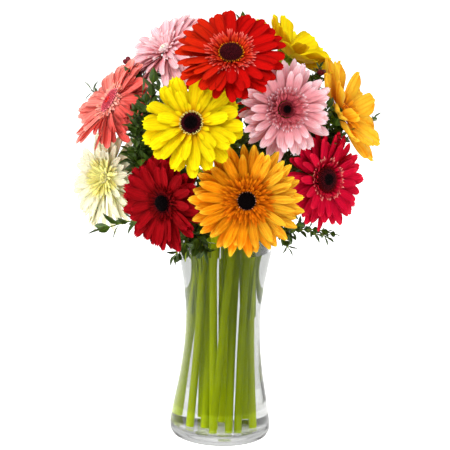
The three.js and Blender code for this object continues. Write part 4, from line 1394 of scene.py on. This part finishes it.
# %% [markdown]
# The cup is clothed in bracts, small pointed scales in three rows that lie along it. They could be a
# bump on the cup, but their tips stand free round its rim. So they are blades with pointed tips.

# %% Bracts and stems
bract_finish = blade_material(
    "bract", "stem_green", "bract_green", "stem_shade", bump=0.15, Roughness=0.55, Subsurface_Weight=0.1
)
BRACT_ROWS = [
    # count, length, half width, lean from the stem's line, and how far below the head the roots are
    (15, 9.0, 2.0, 12, 11.6),
    (15, 8.6, 2.1, 8, 9.0),
    (15, 7.6, 2.1, 4, 6.0),
]
BRACT_SHAPE = {**PETAL, "root": 0.6, "widest": 0.35, "tip": 0.06, "close": 2.0}
BRACT_SHAPE.update({"round": 0.0, "teeth": 0.0, "cup": -0.25})
# in degrees, how far a bract bends towards the stem's line, how much more its root leans out, and how
# far bracts stray
BRACT_CURL, BRACT_SET, BRACT_STRAY = 26.0, 24.0, 3.0
ROOT_SUNK = 0.2


def bracts(name, seed):
    """Rows of small pointed scales on the cup, each lying along it with its tip a little out."""
    at, right, up, ahead = head_frame(name)
    draw = np.random.default_rng(seed)
    skins = []
    for level, (count, length, girth, lean, below) in enumerate(BRACT_ROWS):
        turn = 2 * np.pi * (np.arange(count) + 0.5 * (level % 2)) / count
        out, side = spokes(right, up, turn)
        hug = float(np.interp(CUP_LENGTH - below, CUP[:, 1], CUP[:, 0]))
        origin = at + out * (hug - ROOT_SUNK) - ahead * (below + HEAD_BACK)
        tilt = np.radians(90 - lean - BRACT_SET + draw.normal(0, BRACT_STRAY, count))
        flat = np.broadcast_to(ahead, out.shape)
        size = (np.full(count, length), np.full(count, girth))
        bend = (tilt, np.radians(np.full(count, BRACT_CURL)), np.zeros(count), np.zeros(count))
        tone = draw.uniform(0, 1, count)
        skins.append(blades(origin, out, side, flat, size, bend, BRACT_SHAPE, tone, 0.0, SMALL_GRID))
    return joined(skins)


for name in HEADS:
    piece(f"{name}_stalk", stalk(name), f"{name}_stem", stem_finish)
    piece(f"{name}_bracts", bracts(name, SEEDS[name] + 3), None, bract_finish)
print("triangles in a stalk:", TALLY["orange_stalk"])

# %% [markdown]
# ## Sprigs
# The filler is a woody sprig with small, pointed, glossy leaves in pairs, each pair a quarter turn on
# from the last. Short side twigs make it full enough to close the gaps between the heads. The packed
# model has the seventeen main sprigs. The five fillers are only here, for the last gaps. Scattering
# leaves with Geometry Nodes would be another way. A seeded draw along each twig is as easy to steer,
# and gives the same sprig each run.

# %% Where the sprigs run
SPRIGS = {
    # where it leaves the water, then the points that the twig passes
    "sprig_left_low": ((-24, -2), (-36, -14, 207), (-60, -30, 216), (-88, -43, 221), (-113, -47, 214)),
    "sprig_left_high": ((-22, 14), (-45, 24, 240), (-85, 34, 290), (-118, 32, 318), (-132, 27, 330)),
    "sprig_left_inner": (
        (-24, -8), (-50, -26, 232), (-76, -44, 268), (-80, -55, 300), (-73, -62, 335), (-71, -60, 360)
    ),
    "sprig_middle": ((-2, -12), (2, -20, 232), (12, -46, 280), (20, -76, 320), (22, -80, 334)),
    "sprig_right_inner": ((13, -11), (18, -24, 232), (42, -52, 270), (60, -78, 300)),
    "sprig_right_high": ((20, 4), (46, -12, 240), (70, -38, 290), (85, -60, 326), (90, -68, 342)),
    "sprig_right_back": ((22, 10), (66, 24, 246), (114, 34, 290), (138, 28, 311)),
    "sprig_right_low": ((26, -6), (40, -20, 207), (62, -38, 215), (84, -46, 219), (100, -47, 216)),
    "sprig_over_rim": ((-26, -16), (-31, -27, 205), (-34, -36, 210), (-36, -43, 200), (-37, -46, 184)),
    "sprig_rim_right": ((26, -16), (32, -28, 205), (44, -39, 213), (53, -45, 210), (59, -49, 201)),
    "sprig_top_left": ((-16, 12), (-46, 14, 260), (-80, 15, 318), (-91, 15, 340), (-92, 14, 352)),
    "sprig_top_right": ((8, 4), (22, -4, 260), (48, -24, 318), (74, -44, 358), (82, -48, 374)),
    "sprig_back_left": ((-16, 26), (-40, 46, 250), (-58, 62, 300), (-62, 70, 336)),
    "sprig_back_right": ((16, 24), (40, 46, 250), (58, 62, 300), (64, 68, 336)),
    "sprig_back_low_left": ((-20, 22), (-26, 29, 206), (-44, 44, 216), (-64, 56, 226), (-84, 66, 228)),
    "sprig_back_low_right": ((22, 20), (28, 27, 206), (46, 42, 216), (66, 54, 226), (88, 62, 230)),
    "sprig_back_top": ((-2, 12), (0, 18, 240), (2, 30, 320), (8, 42, 372), (10, 46, 394)),
    "filler_left": ((-14, 4), (-36, 0, 236), (-66, -8, 290), (-84, -8, 330), (-80, -4, 350), (-62, 2, 357)),
    "filler_front": ((-12, -16), (-20, -32, 206), (-29, -45, 234), (-34, -50, 262)),
    "filler_right": ((20, -2), (44, -20, 240), (80, -38, 290), (98, -48, 318), (100, -52, 328)),
    "filler_rim": ((-20, -18), (-24, -30, 207), (-25, -40, 213), (-26, -46, 206), (-26, -47, 192)),
    "filler_top": ((10, 6), (26, 0, 260), (52, -18, 320), (70, -36, 348), (78, -43, 361)),
}
# where the lower end of each twig stands
SPRIG_FEET = {
    "sprig_left_low": (-22, 4), "sprig_left_high": (-20, 16), "sprig_left_inner": (-15, 2),
    "sprig_middle": (2, -8), "sprig_right_inner": (14, -8), "sprig_right_high": (14, 0),
    "sprig_right_back": (18, 8), "sprig_right_low": (24, -2), "sprig_over_rim": (-20, -4),
    "sprig_rim_right": (22, -12), "sprig_top_left": (-14, 12), "sprig_top_right": (8, 6),
    "sprig_back_left": (-12, 26), "sprig_back_right": (12, 24), "sprig_back_low_left": (-18, 24),
    "sprig_back_low_right": (18, 24), "sprig_back_top": (-2, 14),
    "filler_left": (-12, 6), "filler_front": (-10, -12), "filler_right": (16, -2), "filler_top": (8, 8),
    "filler_rim": (-18, -10),
}
# how high in the water the twigs end, and above which height they have leaves, in mm
SPRIG_FOOT_HEIGHT = 120.0
LEAVES_FROM = WATER_LEVEL + 8
SPRIG_HABIT = {
    # how many side twigs and how long they are, against the usual, then a leaf's length in mm and its
    # half width in lengths
    "sprig_left_inner": (3.6, 0.7, 13.0, 0.28), "sprig_middle": (1.8, 0.8, 13.0, 0.25),
    "sprig_right_inner": (1.8, 0.7, 12.0, 0.25), "sprig_right_high": (1.6, 0.6, 11.0, 0.26),
    "sprig_top_right": (0.0, 1.0, 8.0, 0.22), "sprig_top_left": (0.4, 0.5, 11.0, 0.22),
    "sprig_left_low": (0.0, 1.0, 18.0, 0.2), "sprig_right_low": (0.9, 0.4, 9.0, 0.32),
    "sprig_over_rim": (2.6, 0.7, 12.0, 0.28), "sprig_rim_right": (0.0, 1.0, 10.0, 0.3),
    "sprig_right_back": (0.5, 0.4, 10.0, 0.22), "sprig_left_high": (0.0, 1.0, 12.0, 0.18),
    "filler_left": (3.6, 0.8, 15.0, 0.32), "filler_front": (2.2, 0.6, 12.0, 0.28),
    "filler_right": (2.2, 0.6, 14.0, 0.3), "filler_top": (2.4, 0.5, 12.0, 0.3),
    "filler_rim": (3.0, 0.5, 12.0, 0.28),
}
USUAL_HABIT = (1.0, 1.0, 14.0, 0.25)
print("sprigs:", len(SPRIGS))

# %% [markdown]
# A leaf is the same blade with a narrow root, its widest place near the middle, and a pointed tip.

# %% Leaves and twigs
LEAF_SHAPE = {**PETAL, "root": 0.1, "widest": 0.44, "tip": 0.04, "round": 0.0, "teeth": 0.0, "cup": 0.3}
LEAF_SHAPE.update({"furrow": 0.0, "ruffle": 0.0, "thick": 0.3, "close": 1.6})
# a leaf's angle to the twig, the room a pair takes in leaf lengths, and the span of its own size
LEAF = {"spread": 50.0, "step": 0.45, "size": (0.8, 1.2)}
# how far leaves stray, and the usual tilt and curl in degrees and roll in radians, with their stray
LEAF.update({"stray_turn": 0.25, "stray_spread": 9, "tilt": (4, 8), "curl": (-22, 8), "roll": (0, 0.2)})
# radius at both ends, sides, and the share of its length that is bare
TWIG = {"radius": (1.1, 0.6), "sides": 8, "bare": 0.25}
SPUR = {"radius": (0.7, 0.45), "sides": 6, "bare": 0.2}
# a side twig's length and the span of its share of that, the room it takes, its angle to the twig, how
# far it bends back to the twig's way, and where on the twig the side twigs stand
SPUR.update({"length": 30.0, "share": (0.7, 1.1), "every": 13.0, "spread": 46.0})
SPUR.update({"bend": 0.3, "between": (0.3, 0.85)})
WOOD = {"tone": 0.5, "flush": 0.0}
# a line that no twig follows, so a level way can be found square to it
ASKEW = (0.1, 0.2, 1.0)
# how far on, in mm, a twig's heading is read, and a hair that keeps it from being nothing
LOOK_ON, HAIR = 1.5, 1e-6


def branch(heading, turn, spread):
    """The way of a shoot that leaves a heading by an angle, spread, on the side that turn gives, and
    that side: heading cos(spread) + away sin(spread), with away = level cos(turn) + over sin(turn)."""
    level = unit(np.cross(ASKEW, heading))
    away = level * np.cos(turn) + np.cross(heading, level) * np.sin(turn)
    return heading * np.cos(spread) + away * np.sin(spread), away


def gone_along(line):
    """How far along a line each of its points lies."""
    return np.concatenate([[0], np.cumsum(np.linalg.norm(np.diff(line, axis=0), axis=1))])


def leafy(path, bare, size, draw):
    """Leaf frames along a path, past its bare share, and one leaf at its end: origins, outs, sides,
    ups and lengths."""
    gone = gone_along(path)

    def at(where):
        return np.stack([np.interp(where, gone, path[:, k]) for k in range(3)], axis=-1)

    pairs = max(2, int(gone[-1] * (1 - bare) / (LEAF["step"] * size)))
    where = np.repeat(bare + (1 - bare) * (np.arange(pairs) + 0.4) / pairs, 2) * gone[-1]
    count = 2 * pairs
    origin = at(where)
    heading = unit(at(where + LOOK_ON) - origin + HAIR)
    turn = np.pi / 2 * (np.arange(count) // 2) + np.pi * (np.arange(count) % 2)
    turn = turn + draw.normal(0, LEAF["stray_turn"], count)
    spread = np.radians(LEAF["spread"] + draw.normal(0, LEAF["stray_spread"], count))
    out, away = branch(heading, turn[:, None], spread[:, None])
    length = size * draw.uniform(*LEAF["size"], count)
    end = heading[-1:]
    out = np.concatenate([unit(out), end])
    side = np.concatenate([unit(np.cross(heading, away)), unit(np.cross(ASKEW, end))])
    origin = np.concatenate([origin, path[-1:] - end])
    return origin, out, side, np.cross(out, side), np.concatenate([length, [size]])


def sprig(name, draw):
    """A twig with its side twigs, and all their leaves."""
    foot = (*SPRIG_FEET[name], SPRIG_FOOT_HEIGHT)
    mouth = (*SPRIGS[name][0], WATER_LEVEL)
    knots = np.array([foot, mouth, *SPRIGS[name][1:]], float)
    path = smooth_through(np.column_stack([knots, gone_along(knots)]), 48)[:, :3]
    free = path[path[:, 2] > LEAVES_FROM]
    wood = [tube(path, np.linspace(*TWIG["radius"], len(path)), TWIG["sides"], **WOOD)]
    fullness, spur_share, leaf, slender = SPRIG_HABIT.get(name, USUAL_HABIT)
    leaves = [leafy(free, TWIG["bare"], leaf, draw)]
    t = np.linspace(0, 1, 8)[:, None]
    spurs = int(gone_along(free)[-1] / SPUR["every"] * fullness)
    for share in np.linspace(*SPUR["between"], spurs):
        k = int(share * (len(free) - 1))
        heading = unit(free[min(k + 1, len(free) - 1)] - free[k - 1])
        ahead, _ = branch(heading, draw.uniform(0, 2 * np.pi), math.radians(SPUR["spread"]))
        course = ahead * t + (heading - ahead) * t**2 * SPUR["bend"]
        spur = free[k] + course * SPUR["length"] * spur_share * draw.uniform(*SPUR["share"])
        wood.append(tube(spur, np.linspace(*SPUR["radius"], len(spur)), SPUR["sides"], **WOOD))
        leaves.append(leafy(spur, SPUR["bare"], leaf, draw))
    origin, out, side, up, length = [np.concatenate(rows) for rows in zip(*leaves)]
    count = len(length)
    tilt, curl = [np.radians(draw.normal(*LEAF[key], count)) for key in ("tilt", "curl")]
    bend = (tilt, curl, draw.normal(*LEAF["roll"], count), np.zeros(count))
    size = (length, length * slender)
    tone = draw.uniform(0, 1, count)
    return joined(wood), blades(origin, out, side, up, size, bend, LEAF_SHAPE, tone, 0.0, LEAF_GRID)


print("leaves and twigs are ready")

# %% [markdown]
# Leaves are dark and glossy, with a paler vein. Twigs are green in the water and brown above it. Each
# sprig could have a draw of its own. One draw that runs through them all in order is simpler, and
# they keep their shapes as long as the order stays.

# %% Leaf and twig finishes, and the sprigs
leaf_finish = blade_material(
    "leaf", "leaf_light", "leaf_green", "leaf_green", vein="leaf_light", bump=0.3,
    Roughness=0.42, Specular_IOR_Level=0.28, Subsurface_Weight=0.05,
    **{"Vein Count": 2.0, "Veins": 0.5, "Uneven": 0.7},
)
RIND_WAVES = (700.0, 700.0, 700.0)
twig_finish, nodes, shader = principled("twig", Roughness=0.6)
rind = nodes.mix(nodes.clouds(RIND_WAVES), ink("twig"), ink("leaf_green"))
# In the water the twigs are green, and between these heights, in metres, they turn to bark.
BARK_FROM, BARK_ALL = 0.19, 0.24
place = nodes.add("ShaderNodeSeparateXYZ", nodes.add("ShaderNodeTexCoord").outputs["Object"])
rind = nodes.mix(nodes.ramp(place.outputs["Z"], BARK_FROM, BARK_ALL), ink("stem_shade"), rind)
nodes.join(rind, shader.inputs["Base Color"])
SPRIG_SEED = 5
sprig_draw = np.random.default_rng(SPRIG_SEED)
for name in SPRIGS:
    wood, leaves = sprig(name, sprig_draw)
    piece(f"{name}_twigs", wood, name if name.startswith("sprig") else None, twig_finish)
    piece(f"{name}_leaves", leaves, None, leaf_finish)
print("triangles in the sprigs:", sum(v for k, v in TALLY.items() if k.startswith("sprig")))

# %% [markdown]
# Some twigs end in small closed buds of a dark red, one to three together. A sphere could be squeezed
# into one. A turned profile is as short, and can be drawn out at its ends. The big twigs' own knots
# give the places that the small ones start from.

# %% Twig buds
TWIG_BUDS = [
    # where the small twig leaves the big one, where it ends, and how many buds it has
    ((-92, 14, 351), (-96, 11, 360), 3),
    ((-81, -5, 346), (-78, -3, 352), 2),
    ((70, -36, 348), (64, -32, 358), 3),
    ((78, -43, 360), (82, -46, 367), 2),
    ((74, -44, 357), (86, -48, 354), 1),
]
# sizes in mm, and how far from the small twig's line the buds of a group stand, in degrees
TWIG_BUD = {"length": 6.6, "radius": 2.5, "apart": 34.0, "sides": 10, "twig": 0.5}


def twig_bud(at, ahead):
    """A closed bud: rings r sin(t)^0.8 wide at height l (1 - cos t) / 2, for t over half a turn."""
    t = np.linspace(0, np.pi, 9)
    wide = TWIG_BUD["radius"] * np.sin(t) ** 0.8
    wide[[0, -1]] = 0.0
    high = TWIG_BUD["length"] * (1 - np.cos(t)) / 2
    one = turned(np.stack([wide, high], axis=-1), TWIG_BUD["sides"])
    side = unit(np.cross(ASKEW, ahead))
    one["points"] = at + one["points"] @ np.stack([side, np.cross(ahead, side), ahead])
    return one


bud_twigs, bud_skins = [], []
for start, end, count in TWIG_BUDS:
    line = np.linspace(start, end, 6)
    bud_twigs.append(tube(line, np.full(len(line), TWIG_BUD["twig"]), SPUR["sides"], **WOOD))
    heading = unit(line[-1] - line[0])
    spread = math.radians(TWIG_BUD["apart"]) * (count > 1)
    for turn in full_turn(count):
        bud_skins.append(twig_bud(line[-1], branch(heading, turn, spread)[0]))
bud_finish = principled("twig_bud", Roughness=0.5, Specular_IOR_Level=0.2, Base_Color=ink("bud"))[0]
piece("bud_twigs", joined(bud_twigs), None, twig_finish)
piece("twig_buds", joined(bud_skins), None, bud_finish)
print("twig buds:", len(bud_skins))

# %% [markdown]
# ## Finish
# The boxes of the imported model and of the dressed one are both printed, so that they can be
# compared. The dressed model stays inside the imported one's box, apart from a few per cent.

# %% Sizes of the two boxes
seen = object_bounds()
boxes = {"cad": [list(corner) for corner in CAD_BOX], "visual": [list(corner) for corner in seen]}
print("triangles in all:", sum(TALLY.values()), "most in one piece:", max(TALLY.values()))
for key, (low, high) in boxes.items():
    print(key, [round(v / MM, 1) for v in low], [round(v / MM, 1) for v in high])
